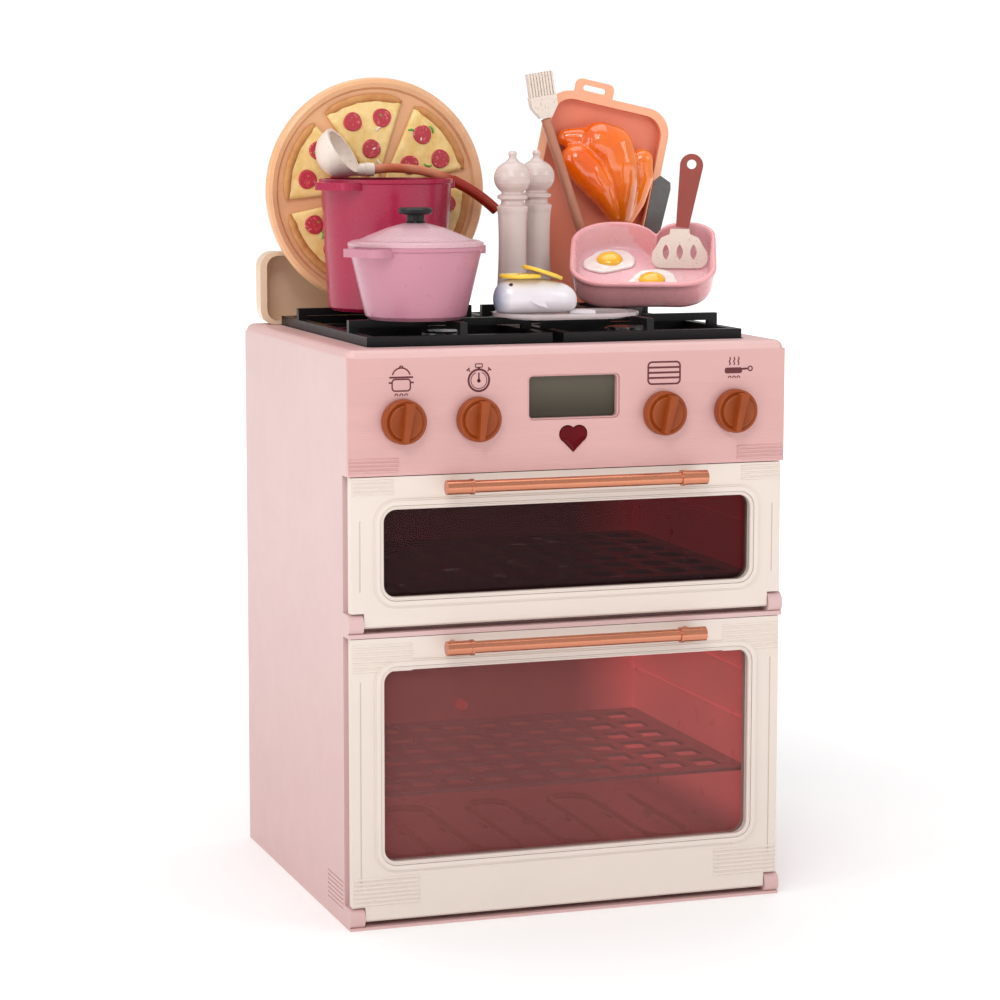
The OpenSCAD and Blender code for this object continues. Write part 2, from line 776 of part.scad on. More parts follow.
// Front shell of a door; its lower corners are thick, and turn on the pins
module door_frame(z0, z1, axis_z, window_z0, window_h) {
    zc = window_z0 + window_h / 2;
    back_y = front_y + door_t;
    corner = knuckle_x - ear_clear;
    difference() {
        union() {
            upright(front_y + 0.3, shell_t - 0.3) difference() {
                door_outline(z0, z1, axis_z);
                translate([0, zc]) round_rect(window_w, window_h, window_r);
            }
            window_bead(zc, window_w, window_h);
            both_sides()
                block([corner - 6, front_y + 0.3, z0], [corner, back_y, axis_z + 4]);
        }
        both_sides() {
            translate([corner - 5, hinge_y, axis_z])
                rotate([0, 90, 0]) cylinder(h = 10, r = pin_r + run_gap);
            // Thin line near the outer edge
            block([door_half_w - 4.2, front_y - 1, axis_z + 14],
                  [door_half_w - 3.6, front_y + 0.7, z1 - 18]);
        }
        // Soft lower front edge, which clears the lip as the door turns
        translate([0, front_y + 0.3, z0]) rotate([45, 0, 0])
            cube([2 * body_w, 1.2, 1.2], center = true);
    }
}

// Back shell, with the pocket that holds the glass
module door_back(z0, z1, window_z0, window_h) {
    zc = window_z0 + window_h / 2;
    y0 = front_y + shell_t;
    y1 = front_y + door_t;
    pocket_w = window_w + 2 * glass_lap + 0.2;
    pocket_h = window_h + 2 * glass_lap + 0.2;
    difference() {
        block([-door_half_w + 3, y0, z0 + 9], [door_half_w - 3, y1, z1 - 2.4]);
        upright(y0 - 1, glass_t + 1)
            translate([0, zc]) round_rect(pocket_w, pocket_h, window_r + glass_lap);
        upright(y0 - 1, door_t)
            translate([0, zc]) round_rect(window_w, window_h, window_r);
    }
}

module door_glass(window_z0, window_h) {
    upright(front_y + shell_t, glass_t)
        translate([0, window_z0 + window_h / 2])
            round_rect(window_w + 2 * glass_lap, window_h + 2 * glass_lap, window_r + glass_lap);
}

// Tube handle with a thicker sleeve at each end, on two posts
module door_handle(z1) {
    z = z1 - handle_below;
    y = front_y - handle_out;
    half = handle_len / 2;
    union() {
        rod([-half + 1, y, z], [half - 1, y, z], handle_r);
        both_sides() {
            rod([half - sleeve_len, y, z], [half, y, z], sleeve_r);
            rod([half - sleeve_len - 0.8, y, z], [half - sleeve_len + 0.6, y, z], sleeve_r + 0.25);
            rod([half - sleeve_len / 2, front_y + 0.3, z], [half - sleeve_len / 2, y, z], post_r);
        }
    }
}

module upper_door_frame() {
    color(CREAM) {
        door_frame(upper_door_z0, upper_door_z1, upper_axis_z, upper_window_z0, upper_window_h);
        both_sides()
            rib_rows(78, door_half_w - 0.6, upper_door_z1 - 6.8, 4, 1.75, front_y + 0.35);
    }
}

module upper_door_back() {
    color(CREAM) door_back(upper_door_z0, upper_door_z1, upper_window_z0, upper_window_h);
}

module upper_door_glass() color(SMOKE) door_glass(upper_window_z0, upper_window_h);
module upper_door_handle() color(COPPER) door_handle(upper_door_z1);

module lower_door_frame() {
    color(CREAM) {
        door_frame(lower_door_z0, lower_door_z1, lower_axis_z, lower_window_z0, lower_window_h);
        both_sides() {
            rib_rows(70, door_half_w - 0.6, lower_door_z1 - 13.6, 6, 2.1, front_y + 0.35);
            rib_rows(67, door_half_w - 0.6, lower_door_z0 + 7.4, 7, 1.8, front_y + 0.35);
        }
    }
}

module lower_door_back() {
    color(CREAM) door_back(lower_door_z0, lower_door_z1, lower_window_z0, lower_window_h);
}

module lower_door_glass() color(SMOKE) door_glass(lower_window_z0, lower_window_h);
module lower_door_handle() color(COPPER) door_handle(lower_door_z1);

// Pot: a tapered bowl with a rolled rim and two tab handles
module pot(foot_r, rim_r, h, tab_drop) {
    tab_t = 3.4;
    tab_z = h - tab_drop - tab_t;
    difference() {
        union() {
            rotate_extrude() polygon([[0, 0], [foot_r - 2, 0], [foot_r, 1.6], [rim_r, h - 2],
                                      [rim_r + 0.7, h - 1.6], [rim_r + 0.7, h], [0, h]]);
            for (a = [180, 0]) rotate([0, 0, pot_turn + a])
                translate([rim_r - 3, 0, tab_z]) linear_extrude(tab_t) difference() {
                    translate([3, 0]) round_rect(14, 22, 4);
                    translate([5.5, 0]) round_rect(4.4, 13, 1.8);
                }
        }
        rotate_extrude() polygon([[0, pot_wall], [foot_r - pot_wall - 1.5, pot_wall],
                                  [foot_r - pot_wall + 0.2, pot_wall + 1.6],
                                  [rim_r - pot_wall, h - 2], [rim_r - pot_wall, h + 1], [0, h + 1]]);
    }
}

module sauce_pot() {
    color([0.80, 0.55, 0.65]) translate([sauce_at[0], sauce_at[1], sauce_z])
        pot(sauce_foot_r, sauce_rim_r, sauce_h, 0.5);
}

lid_z = sauce_z + sauce_h + 0.1;
lid_h = 9.5;

module pot_lid() {
    r = sauce_rim_r;
    color([0.80, 0.58, 0.68]) translate([sauce_at[0], sauce_at[1], lid_z]) rotate_extrude()
        polygon([[r - 3.4, -1.8], [r - 2.4, -1.8], [r - 2.2, 0], [r + 0.9, 0], [r + 0.9, 1.3],
                 [r - 1, 2.2], [r - 4, 2.6], [r - 8, 4.4], [r - 16, 7.6], [5, lid_h], [0, lid_h],
                 [0, lid_h - 1.6], [5, lid_h - 1.6], [r - 16, 6], [r - 8, 2.8], [r - 4, 1]]);
}

module lid_knob() {
    color(BLACK) translate([sauce_at[0], sauce_at[1], lid_z + lid_h]) rotate_extrude()
        polygon([[0, 0], [4.2, 0], [3.7, 1], [3.7, 3.4], [6.4, 3.8], [7.3, 4.6], [7.3, 5.8],
                 [6.4, 6.6], [0, 6.8]]);
}

module stock_pot() {
    color([0.75, 0.20, 0.38]) translate([stock_at[0], stock_at[1], stock_z])
        pot(stock_foot_r, stock_rim_r, stock_h, 1.2);
}

stock_rim_z = stock_z + stock_h;
ladle_r = 11.6;
ladle_wall = 1.4;
ladle_y = board_y0 + board_t - 4 - pizza_t - ladle_r - 1.5 * seat;
ladle_at = [stock_at[0] - 14.7, ladle_y, stock_rim_z + ladle_r + 0.1];
ladle_neck = [ladle_at[0] + 14.8, ladle_y, stock_rim_z + 3.75];
ladle_arc = 72;
ladle_turn = 97.3;

// Ladle lying across the back of the pot's rim, its bowl tipped to the right
module ladle_head() {
    color(CREAM) difference() {
        union() {
            difference() {
                translate(ladle_at) sphere(ladle_r);
                translate(ladle_at) rotate([0, 57, -35])
                    translate([0, 0, 20 + 1.2]) cube([60, 60, 40], center = true);
            }
            rod([ladle_at[0] + 3, ladle_y, ladle_neck[2]], ladle_neck, 2.8);
            rod([ladle_neck[0] - 4, ladle_y, ladle_neck[2]], ladle_neck, 3.1);
        }
        translate(ladle_at) sphere(ladle_r - ladle_wall);
    }
}

// Curved handle: one bend, thicker in its outer half
module ladle_handle() {
    across = [cos(ladle_turn), 0, sin(ladle_turn)];
    color([0.65, 0.28, 0.22]) translate(ladle_neck + [seat, 0, 0] - ladle_arc * across)
        rotate([90, 0, 0]) {
            rotate([0, 0, 47]) rotate_extrude(angle = ladle_turn - 47)
                translate([ladle_arc, 0]) circle(2.1);
            rotate([0, 0, 47]) rotate_extrude(angle = 20)
                translate([ladle_arc, 0]) circle(2.5);
        }
}

module round_board() {
    color([0.85, 0.66, 0.50])
        translate([board_x, board_y0 + board_t, board_zc]) rotate([90, 0, 0]) rotate_extrude()
            polygon([[0, 0], [board_r - 2, 0], [board_r - 0.6, 0.8], [board_r, 2.4],
                     [board_r, 4], [board_r - 0.8, 5.4], [board_r - 2.4, board_t],
                     [board_r - 4.4, 5.4], [board_r - 5.4, 4], [0, 4]]);
}

// Pizza cut into slices, lying against the board's recessed face
module pizza_slices() {
    r = 42;
    slice = 54;
    color([0.90, 0.70, 0.30])
        translate([board_x, board_y0 + board_t - 4 - 0.05, board_zc]) rotate([90, 0, 0])
            for (i = [0 : 5]) rotate([0, 0, i * 60 + 12]) translate([2.2, 1.2, 0]) union() {
                linear_extrude(pizza_t - 1) intersection() {
                    circle(r);
                    polygon([[0, 0], [60, 0], [60 * cos(slice / 2), 60 * sin(slice / 2)] * 1.2,
                             [60 * cos(slice), 60 * sin(slice)]]);
                }
                rotate_extrude(angle = slice) translate([r - 1.6, 1.5]) circle(1.5, $fn = 20);
                for (p = [[17, 26], [31, 13], [31, 39]])
                    rotate([0, 0, p[1]]) translate([p[0], 0, 0])
                        cylinder(h = pizza_t, r = 4.2);
            }
}

// Pepper mill with a bulb top; its foot stands at the origin
module mill() {
    bulb = [for (a = [-54 : 12 : 66]) [8.2 * cos(a), 64 + 7.6 * sin(a)]];
    waist = [for (t = [0 : 0.1 : 1]) [7.8 - 2.6 * sin(t * 90) + 1.2 * t * t, 3 + 45 * t]];
    rotate_extrude() polygon(concat(
        [[0, 0], [8, 0], [8.2, 1.2]], waist,
        [[6.8, 50], [6.9, 51.5], [5.2, 52.6], [5.0, 54], [6.6, 55], [6.6, 56.4], [4.9, 57.2]],
        bulb,
        [[2.0, 72.2], [1.5, 73.2], [1.9, 74.4], [1.6, 75.3], [0.8, 75.8], [0, 75.8]]
    ));
}

module salt_mill() {
    color([0.85, 0.83, 0.82]) translate([-2, -16, bar_z + 0.1]) mill();
}

module pepper_mill() {
    color([0.83, 0.81, 0.80]) translate([18, 9, bar_z + 0.1]) mill();
}

// Baking tray stood on its lower right corner, turned in its own plane
tray_w = 58;
tray_len = 94;
tray_r = 11;
tray_d = 6;
tab_x = -9.5;
tray_turn = 12;
tray_floor_y = rack_y + 27;
tray_corner_x = 68;
tray_corner_z = bar_z + 0.6;

module on_tray() {
    translate([tray_corner_x, tray_floor_y, tray_corner_z + tray_r]) rotate([90, 0, 0])
        rotate([0, 0, -tray_turn]) translate([tray_r - tray_w / 2, tray_len / 2 - tray_r, 0])
            children();
}

module baking_tray() {
    lip = 2;
    color([0.92, 0.55, 0.42]) on_tray() union() {
        difference() {
            linear_extrude(tray_d) round_rect(tray_w, tray_len, tray_r);
            translate([0, 0, 1.6])
                linear_extrude(tray_d) round_rect(tray_w - 3.2, tray_len - 3.2, tray_r - 1.6);
        }
        translate([0, 0, tray_d - 1.4]) linear_extrude(1.4) difference() {
            union() {
                translate([0, lip / 2]) round_rect(tray_w + 2 * lip, tray_len + lip, tray_r + lip / 2);
                translate([tab_x, tray_len / 2 + 3]) round_rect(19, 11, 3);
            }
            round_rect(tray_w - 3.2, tray_len - 3.2, tray_r - 1.6);
            translate([tab_x, tray_len / 2 + 4.6]) round_rect(11.4, 2.6, 1.2);
        }
    }
}

// Roast chicken: breast, leg, two wings, all narrowing to the lower right
chicken_at = [1, 13];

module chicken_blob(points) {
    hull() for (p = points) translate([p[0], p[1], p[2]]) sphere(p[3], $fn = 24);
}

module roast_chicken() {
    color([0.93, 0.42, 0.08]) on_tray() translate([chicken_at[0], chicken_at[1], 0])
        intersection() {
            union() {
                chicken_blob([[0.5, 14, 9.5, 11], [4, 8, 10.5, 10.7], [9, -4, 9.5, 7.6],
                              [13.5, -14, 8, 4.4]]);
                chicken_blob([[-13, 6, 11.5, 8], [-7, 1, 13, 7.6], [2, -7, 11.5, 5.6],
                              [9, -15, 9, 3.8]]);
                chicken_blob([[-20.6, 16, 7.5, 4.8], [-14, 18, 8.5, 5.2], [-6, 18, 9, 4.8]]);
                chicken_blob([[20, 11.5, 7, 5.8], [21, 4, 7, 5.2], [19.5, -8, 7, 4.2],
                              [17, -17, 7, 3]]);
            }
            translate([-50, -50, 1.7]) cube([100, 100, 40]);
        }
}

// Pastry brush leaning to the left, its end on the hob plate
brush_lean = 19;
brush_y = rack_y + 2.2;
brush_foot = [60, brush_y, plate_z + 2.3];
brush_len = 97;

module on_brush() {
    translate(brush_foot) rotate([0, -brush_lean, 0]) children();
}

module brush_handle() {
    color([0.70, 0.42, 0.34]) on_brush() union() {
        cylinder(h = brush_len - 0.1, r = 2.2);
        sphere(2.2);
    }
}

module brush_head() {
    color(CREAM) on_brush() translate([0, 0, brush_len + 0.45]) rotate([0, 10, 0]) union() {
        upright(-2.2, 4.4)
            polygon([[-2.6, 0], [2.6, 0], [6.1, 5], [6.4, 10], [-6.4, 10], [-6.1, 5]]);
        // Moulded tines on a thin web
        upright(-1, 2) polygon([[-6.1, 9], [6.1, 9], [5.9, 20.2], [-5.9, 20.2]]);
        for (i = [-4 : 4])
            translate([i * 1.4 - 0.45, -1.8, 9.4]) cube([0.9, 3.6, 11.2]);
    }
}

knife_at = [70.5, rack_y + 1.8, plate_z + 0.5];

module knife() {
    color(STEEL) translate(knife_at) rotate([0, 13, 0]) {
        upright(-1.5, 3) round_rect_from(-3.4, 0, 6.8, 34, 2);
        upright(-0.6, 1.2)
            polygon([[-3.8, 32], [3.8, 32], [4.6, 64], [3.8, 67], [-1.5, 69], [-4.2, 66]]);
    }
}

// Pointed oval slot, height h
module lens(x, z, h) {
    r = 5;
    d = sqrt(r * r - h * h / 4);
    intersection() {
        translate([x - d, z]) circle(r);
        translate([x + d, z]) circle(r);
    }
}

// Rectangle with round corners, from its lower left corner
module round_rect_from(x, z, w, h, r) {
    translate([x + w / 2, z + h / 2]) round_rect(w, h, r);
}

// Places children in the frying pan's own frame: origin at its front edge, floor down
module on_pan() {
    translate([pan_x, pan_y, pan_z]) rotate([0, 0, pan_turn]) rotate([pan_tilt, 0, 0]) children();
}

// Heart-like outline with two lobes at the back, grown by g
module pan_outline(g) {
    notch_x = 6.5;
    body = pan_len - 12;
    left_w = pan_w / 2 + notch_x;
    right_w = pan_w / 2 - notch_x;
    translate([0, body / 2]) round_rect(pan_w + 2 * g, body + 2 * g, pan_r - 2 + g);
    translate([-pan_w / 2 + left_w / 2, pan_len / 2 + 4])
        round_rect(left_w + 2 * g, pan_len - 8 + 2 * g, pan_r + g);
    translate([pan_w / 2 - right_w / 2, pan_len / 2 + 4])
        round_rect(right_w + 2 * g, pan_len - 8 + 2 * g, right_w / 2 - 0.6 + g);
}

module frying_pan() {
    color([0.85, 0.60, 0.65]) on_pan() union() {
        difference() {
            union() {
                linear_extrude(pan_d) pan_outline(0);
                translate([0, 0, pan_d - 2]) linear_extrude(2) pan_outline(0.6);
            }
            translate([0, 0, pan_wall]) linear_extrude(pan_d) pan_outline(-pan_wall);
        }
    }
}

// Two fried eggs
module fried_eggs() {
    color([0.97, 0.95, 0.92]) on_pan() for (egg = [[-15, 41, 0], [5, 20.5, 12]])
        translate([egg[0], egg[1], pan_wall + 0.2]) rotate([0, 0, egg[2]]) union() {
            cylinder(h = 1.2, r = 9);
            translate([6, 3, 0]) cylinder(h = 1.2, r = 6);
            translate([-6, -4, 0]) cylinder(h = 1.2, r = 6.5);
            intersection() {
                translate([0, 0, -1.6]) sphere(6);
                translate([-10, -10, 0.5]) cube([20, 20, 10]);
            }
        }
}

// Slotted spatula that stands in the pan, in front of the rib between the two lobes
spatula_u = 16.4;
spatula_v = 30.5;

module on_spatula() {
    translate([pan_x, pan_y, pan_z + (pan_wall + 0.2) / cos(pan_tilt)
            + (spatula_v + 0.9) * tan(pan_tilt)])
        rotate([0, 0, pan_turn]) translate([spatula_u, spatula_v, 0]) children();
}

module spatula_head() {
    color(CREAM) on_spatula()
        upright(-0.8, 1.6) difference() {
            union() {
                round_rect_from(-12.5, 0, 25, 10, 4.5);
                polygon([[-11.6, 8], [11.6, 8], [8.4, 13.6], [4.6, 15.2], [4.2, 17.6],
                         [-4.2, 17.6], [-4.6, 15.2], [-8.4, 13.6]]);
            }
            for (x = [-6.2, 0, 6.2]) lens(x, 7.2, 7);
        }
}

module spatula_handle() {
    color([0.62, 0.30, 0.26]) on_spatula() translate([1, 0, 17.7])
        rotate([0, 8, 0]) upright(-1.1, 2.2) difference() {
            union() {
                polygon([[-2.9, 0.5], [2.9, 0.5], [5.2, 28.5], [-5.2, 28.5]]);
                translate([0, 28.5]) circle(5.2);
            }
            translate([0, 29]) circle(2.1);
        }
}

// Long plate in front, with the fish and its yellow slices
plate_at = [9, -54];
dish_z = grid_z + 0.1;

module serving_plate() {
    color([0.80, 0.78, 0.80]) translate([plate_at[0], plate_at[1], dish_z]) difference() {
        union() {
            linear_extrude(1.6) round_rect(52, 28, 13);
            translate([0, 0, 1.1]) linear_extrude(1.5) round_rect(64, 37, 18);
        }
        translate([0, 0, 1.6]) linear_extrude(2) round_rect(56, 31, 15);
    }
}

fish_x = -5.3;
fish_h = 15.6;

module fish() {
    z = dish_z + 1.75;
    color([0.78, 0.76, 0.82]) translate([fish_x, plate_at[1], z]) {
        intersection() {
            union() {
                hull() {
                    translate([-10.5, 0, 7.8]) sphere(7.7, $fn = 28);
                    translate([-4, 0, fish_h - 8]) sphere(8, $fn = 28);
                    translate([7.5, 0, 6.9]) sphere(7.6, $fn = 28);
                    translate([12.6, 0, 6.2]) sphere(6.6, $fn = 28);
                }
                linear_extrude(1.6)
                    polygon([[16, -2], [26, -7], [24, 0], [26, 7], [16, 2]]);
            }
            translate([-40, -30, 0]) cube([90, 60, 30]);
        }
    }
}

// Two yellow slices on the fish's back, the right one leaning on the other
module lemon_slices() {
    z = dish_z + 1.75 + fish_h + 0.1;
    r = 9;
    color([0.95, 0.80, 0.30]) translate([fish_x - 6.5, plate_at[1], z]) {
        translate([0, -0.5, 0]) union() {
            cylinder(h = 1.4, r = r);
            cylinder(h = 1.7, r = r - 1.4);
        }
        translate([10.3, 1, 1.25]) rotate([0, 18, 0]) union() {
            cylinder(h = 1.4, r = r);
            cylinder(h = 1.7, r = r - 1.4);
        }
    }
}

// Shallow roasting dish stood on its long side behind the board
module roasting_dish() {
    w = 54;
    h = 33;
    d = 14;
    y0 = max(board_y0 + board_t + seat, grate_half_d + 0.5);
    color([0.90, 0.80, 0.70])
        translate([-half_w + 5 + w / 2, y0 + d, top_z + seat / 3 + h / 2]) rotate([90, 0, 0])
            difference() {
                union() {
                    linear_extrude(d) round_rect(w, h, 7);
                    translate([0, 0, d - 1.6]) linear_extrude(1.6) round_rect(w + 3, h, 7);
                }
                translate([0, 0, 1.6]) linear_extrude(d) round_rect(w - 3.2, h - 3.2, 5.4);
            }
}

cabinet();
top_frame();
base_plate();
rear_cover();
case_screws();
battery_box();
batteries();
battery_door();
control_panel();
display_bezel();
display_glass();
main_board();
wire_loom();
speaker();
oven_lamp();
heart_button();
knob_1();
knob_2();
knob_3();
knob_4();
hob_plate();
left_pan_support();
right_pan_support();
upper_liner();
lower_liner();
upper_rack();
lower_rack();
heating_element();
hinge_pins();
upper_door_frame();
upper_door_back();
upper_door_glass();
upper_door_handle();
lower_door_frame();
lower_door_back();
lower_door_glass();
lower_door_handle();
sauce_pot();
pot_lid();
lid_knob();
stock_pot();
ladle_head();
ladle_handle();
round_board();
pizza_slices();
salt_mill();
pepper_mill();
baking_tray();
roast_chicken();
brush_head();
brush_handle();
knife();
frying_pan();
fried_eggs();
spatula_head();
spatula_handle();
serving_plate();
fish();
lemon_slices();
roasting_dish();
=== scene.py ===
import math
import random
import bpy
import bmesh
from mathutils import Matrix, Vector
from mathutils import noise as mnoise


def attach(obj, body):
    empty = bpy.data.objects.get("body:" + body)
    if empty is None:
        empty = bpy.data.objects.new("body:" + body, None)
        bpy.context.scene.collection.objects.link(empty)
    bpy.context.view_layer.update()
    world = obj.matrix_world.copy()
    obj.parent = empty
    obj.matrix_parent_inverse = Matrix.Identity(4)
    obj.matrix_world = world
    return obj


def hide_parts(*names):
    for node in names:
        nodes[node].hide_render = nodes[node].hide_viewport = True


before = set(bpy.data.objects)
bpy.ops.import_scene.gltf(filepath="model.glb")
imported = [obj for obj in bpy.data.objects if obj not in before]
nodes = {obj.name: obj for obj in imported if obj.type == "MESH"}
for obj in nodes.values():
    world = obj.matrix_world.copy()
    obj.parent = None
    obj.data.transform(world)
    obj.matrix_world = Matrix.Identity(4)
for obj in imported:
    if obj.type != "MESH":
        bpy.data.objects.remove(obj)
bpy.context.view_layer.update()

MM = 0.001
scene = bpy.context.scene
scene.view_settings.view_transform = "Standard"
scene.view_settings.look = "None"


# -------------------------------------------------------- colours and materials

PLASTIC_IOR = 1.46
COAT_ROUGHNESS = 0.08
BUMP_DEPTH = 0.0004                     # metres
SKIN_RADIUS = (0.004, 0.002, 0.0015)    # how far light spreads in soft plastic, metres
SKIN_SCALE = 0.6
RGBA_BLACK, RGBA_WHITE = (0, 0, 0, 1), (1, 1, 1, 1)


def lin(rgb, k=1.0):
    """Linear RGBA of an sRGB colour in 0-255, k times as bright."""
    out = []
    for v in rgb:
        c = v / 255.0
        c = c / 12.92 if c <= 0.04045 else ((c + 0.055) / 1.055) ** 2.4
        out.append(min(1.0, c * k))
    return (*out, 1.0)


def node(tree, kind, x, y, **values):
    """A new shader node. Each value goes to the socket or the setting of that name."""
    n = tree.nodes.new(kind)
    n.location = (x, y)
    for k, v in values.items():
        if k in n.inputs:
            n.inputs[k].default_value = v
        else:
            setattr(n, k, v)
    return n


def shader(m):
    """The node that a material's look is set on."""
    return m.node_tree.nodes["Principled BSDF"]


def ramp(tree, x, y, first, last):
    """A colour ramp between two stops, each a position and a colour."""
    n = node(tree, "ShaderNodeValToRGB", x, y)
    for stop, (position, colour) in zip(n.color_ramp.elements, (first, last)):
        stop.position, stop.color = position, colour
    return n


def mapped(tree, x, y, value, start=0.0, end=1.0, low=0.0, high=1.0):
    """A socket that runs from low to high while value runs from start to end."""
    n = node(tree, "ShaderNodeMapRange", x, y)
    for socket, number in (("From Min", start), ("From Max", end),
                           ("To Min", low), ("To Max", high)):
        n.inputs[socket].default_value = number
    tree.links.new(value, n.inputs["Value"])
    return n.outputs["Result"]


def moulded(name, rgb, rough=0.3, vary=0.05, cell=28.0, grain=2400.0, bump=0.05,
            rough_vary=0.08, coat=0.0, spec=0.5, metallic=0.0, alpha=1.0, sss=0.0,
            specks=None, speck_scale=1400.0, speck_share=0.36, stretch=(1, 1, 1),
            second=None, second_at=0.62, emission=None):
    """A moulded plastic or painted surface: mottled colour, fine grain, uneven gloss."""
    m = bpy.data.materials.new(name)
    m.use_nodes = True
    t = m.node_tree
    b = shader(m)
    coord = node(t, "ShaderNodeTexCoord", -1300, 0)
    place = node(t, "ShaderNodeMapping", -1120, 0, Scale=stretch)
    t.links.new(coord.outputs["Object"], place.inputs["Vector"])

    def noise(scale, detail, y, roughness=0.55):
        n = node(t, "ShaderNodeTexNoise", -920, y, Scale=scale, Detail=detail,
                 Roughness=roughness)
        t.links.new(place.outputs["Vector"], n.inputs["Vector"])
        return n.outputs["Fac"]

    mottle = ramp(t, -700, 300, (0.28, lin(rgb, 1.0 - vary)),
                  (0.74, lin(rgb, 1.0 + vary)))
    if second:
        mottle.color_ramp.elements.new(second_at).color = lin(second)
    t.links.new(noise(cell, 5.0, 300), mottle.inputs["Fac"])
    colour = mottle.outputs["Color"]
    if specks:
        cut = ramp(t, -700, 60, (speck_share - 0.05, RGBA_WHITE),
                   (speck_share + 0.03, RGBA_BLACK))
        t.links.new(noise(speck_scale, 2.0, 80, 0.6), cut.inputs["Fac"])
        mix = node(t, "ShaderNodeMix", -420, 220, data_type="RGBA")
        mix.inputs["B"].default_value = lin(specks)
        t.links.new(cut.outputs["Color"], mix.inputs["Factor"])
        t.links.new(colour, mix.inputs["A"])
        colour = mix.outputs["Result"]
    t.links.new(colour, b.inputs["Base Color"])

    gloss = mapped(t, -420, -160, noise(cell * 4.5, 3.0, -160),
                   low=max(0.02, rough - rough_vary), high=min(1.0, rough + rough_vary))
    t.links.new(gloss, b.inputs["Roughness"])

    lift = node(t, "ShaderNodeBump", -420, -420, Strength=bump, Distance=BUMP_DEPTH)
    t.links.new(noise(grain, 2.0, -420), lift.inputs["Height"])
    t.links.new(lift.outputs["Normal"], b.inputs["Normal"])

    for socket, value in (("Metallic", metallic), ("IOR", PLASTIC_IOR),
                          ("Specular IOR Level", spec), ("Coat Weight", coat),
                          ("Coat Roughness", COAT_ROUGHNESS), ("Alpha", alpha)):
        b.inputs[socket].default_value = value
    if sss:
        b.inputs["Subsurface Weight"].default_value = sss
        b.inputs["Subsurface Radius"].default_value = SKIN_RADIUS
        b.inputs["Subsurface Scale"].default_value = SKIN_SCALE
    if emission:
        b.inputs["Emission Color"].default_value = lin(emission[0])
        b.inputs["Emission Strength"].default_value = emission[1]
    return m


def smoked(name, rgb, alpha):
    """Tinted window plastic, clear enough to see the oven behind it."""
    return moulded(name, rgb, rough=0.07, vary=0.10, cell=12, grain=900, bump=0.002,
                   rough_vary=0.02, alpha=alpha, spec=0.16)


PINK = moulded("shell_pink", (211, 181, 178), rough=0.42, vary=0.025, grain=3200,
               bump=0.10)
LEDGE = moulded("top_edge_pink", (216, 176, 173), rough=0.34, vary=0.025, grain=3200,
                bump=0.06)
PANEL = moulded("panel_pink", (210, 164, 161), rough=0.33, vary=0.03, cell=60, bump=0.22,
                grain=900, stretch=(0.06, 1, 3.0), metallic=0.12)
CREAM = moulded("door_cream", (223, 209, 199), rough=0.36, vary=0.02, grain=2600,
                bump=0.08)
COPPER = moulded("rose_copper", (206, 134, 104), rough=0.24, vary=0.06, cell=50,
                 metallic=0.8, grain=900, stretch=(0.08, 1, 1), bump=0.12)
CARAMEL = moulded("knob_caramel", (142, 62, 18), rough=0.40, vary=0.05, cell=120,
                  grain=2600, bump=0.12, second=(150, 68, 22), rough_vary=0.05, spec=0.35)
BLACK = moulded("satin_black", (20, 18, 20), rough=0.34, vary=0.18, grain=1500, bump=0.22,
                spec=0.35)
HOB = moulded("hob_black", (22, 20, 23), rough=0.24, vary=0.2, grain=1200, bump=0.12,
              coat=0.3)
RACKS = moulded("rack_black", (30, 26, 28), rough=0.25, vary=0.2, bump=0.1, coat=0.2)
# Painted light and shade: the lower liner is a lighter copy of the upper one.
RED = moulded("liner_red", (84, 16, 22), rough=0.30, vary=0.12, cell=18, bump=0.015)
RED_LOW = moulded("liner_rose", (104, 28, 30), rough=0.30, vary=0.12, cell=18, bump=0.015)
STEEL = moulded("bright_steel", (190, 190, 195), rough=0.28, vary=0.05, metallic=1.0,
                grain=1800, bump=0.08)
BOX_GREY = moulded("battery_box_grey", (60, 58, 60), rough=0.5, vary=0.08, bump=0.1)
LCD = moulded("display_glass", (60, 54, 42), rough=0.2, vary=0.05, cell=90, grain=5200,
              bump=0.02, spec=0.25)
HEART = moulded("heart_red", (92, 2, 14), rough=0.25, vary=0.25, cell=160, bump=0.02,
                spec=0.12)
ICON = moulded("icon_maroon", (92, 30, 36), rough=0.45, vary=0.08, cell=200, bump=0.05)
BOARD_TAN = moulded("board_tan", (226, 172, 128), rough=0.30, vary=0.05, cell=24,
                    bump=0.06, stretch=(1, 1, 5), coat=0.2)
PEARL = moulded("mill_pearl", (206, 186, 180), rough=0.24, vary=0.05, cell=60, coat=0.4,
                sss=0.12)
MAUVE = moulded("pot_mauve", (188, 126, 144), rough=0.30, vary=0.02, cell=40, bump=0.05,
                coat=0.15)
LID = moulded("lid_mauve", (206, 162, 171), rough=0.28, vary=0.02, cell=40, bump=0.05,
              coat=0.2)
RASP = moulded("pot_raspberry", (162, 24, 64), rough=0.28, vary=0.03, cell=40, bump=0.04,
               coat=0.08)
SPECKLED = moulded("utensil_cream", (226, 212, 200), rough=0.36, vary=0.03, bump=0.06,
                   specks=(190, 160, 148), speck_share=0.35)
LADLE_H = moulded("ladle_copper", (176, 82, 52), rough=0.30, vary=0.10, cell=60,
                  bump=0.06, second=(196, 122, 92), second_at=0.5)
WOODY = moulded("brush_brown", (172, 112, 88), rough=0.36, vary=0.08, cell=50, bump=0.08,
                stretch=(3, 3, 0.5), second=(184, 124, 100))
RUST = moulded("spatula_brown", (144, 64, 54), rough=0.42, vary=0.06, cell=60, bump=0.08)
CORAL = moulded("tray_coral", (224, 130, 102), rough=0.34, vary=0.05, cell=30, bump=0.06)
ORANGE = moulded("roast_orange", (238, 84, 2), rough=0.10, vary=0.10, cell=70, coat=1.0,
                 bump=0.05, grain=260, second=(242, 112, 12), second_at=0.66, sss=0.08)
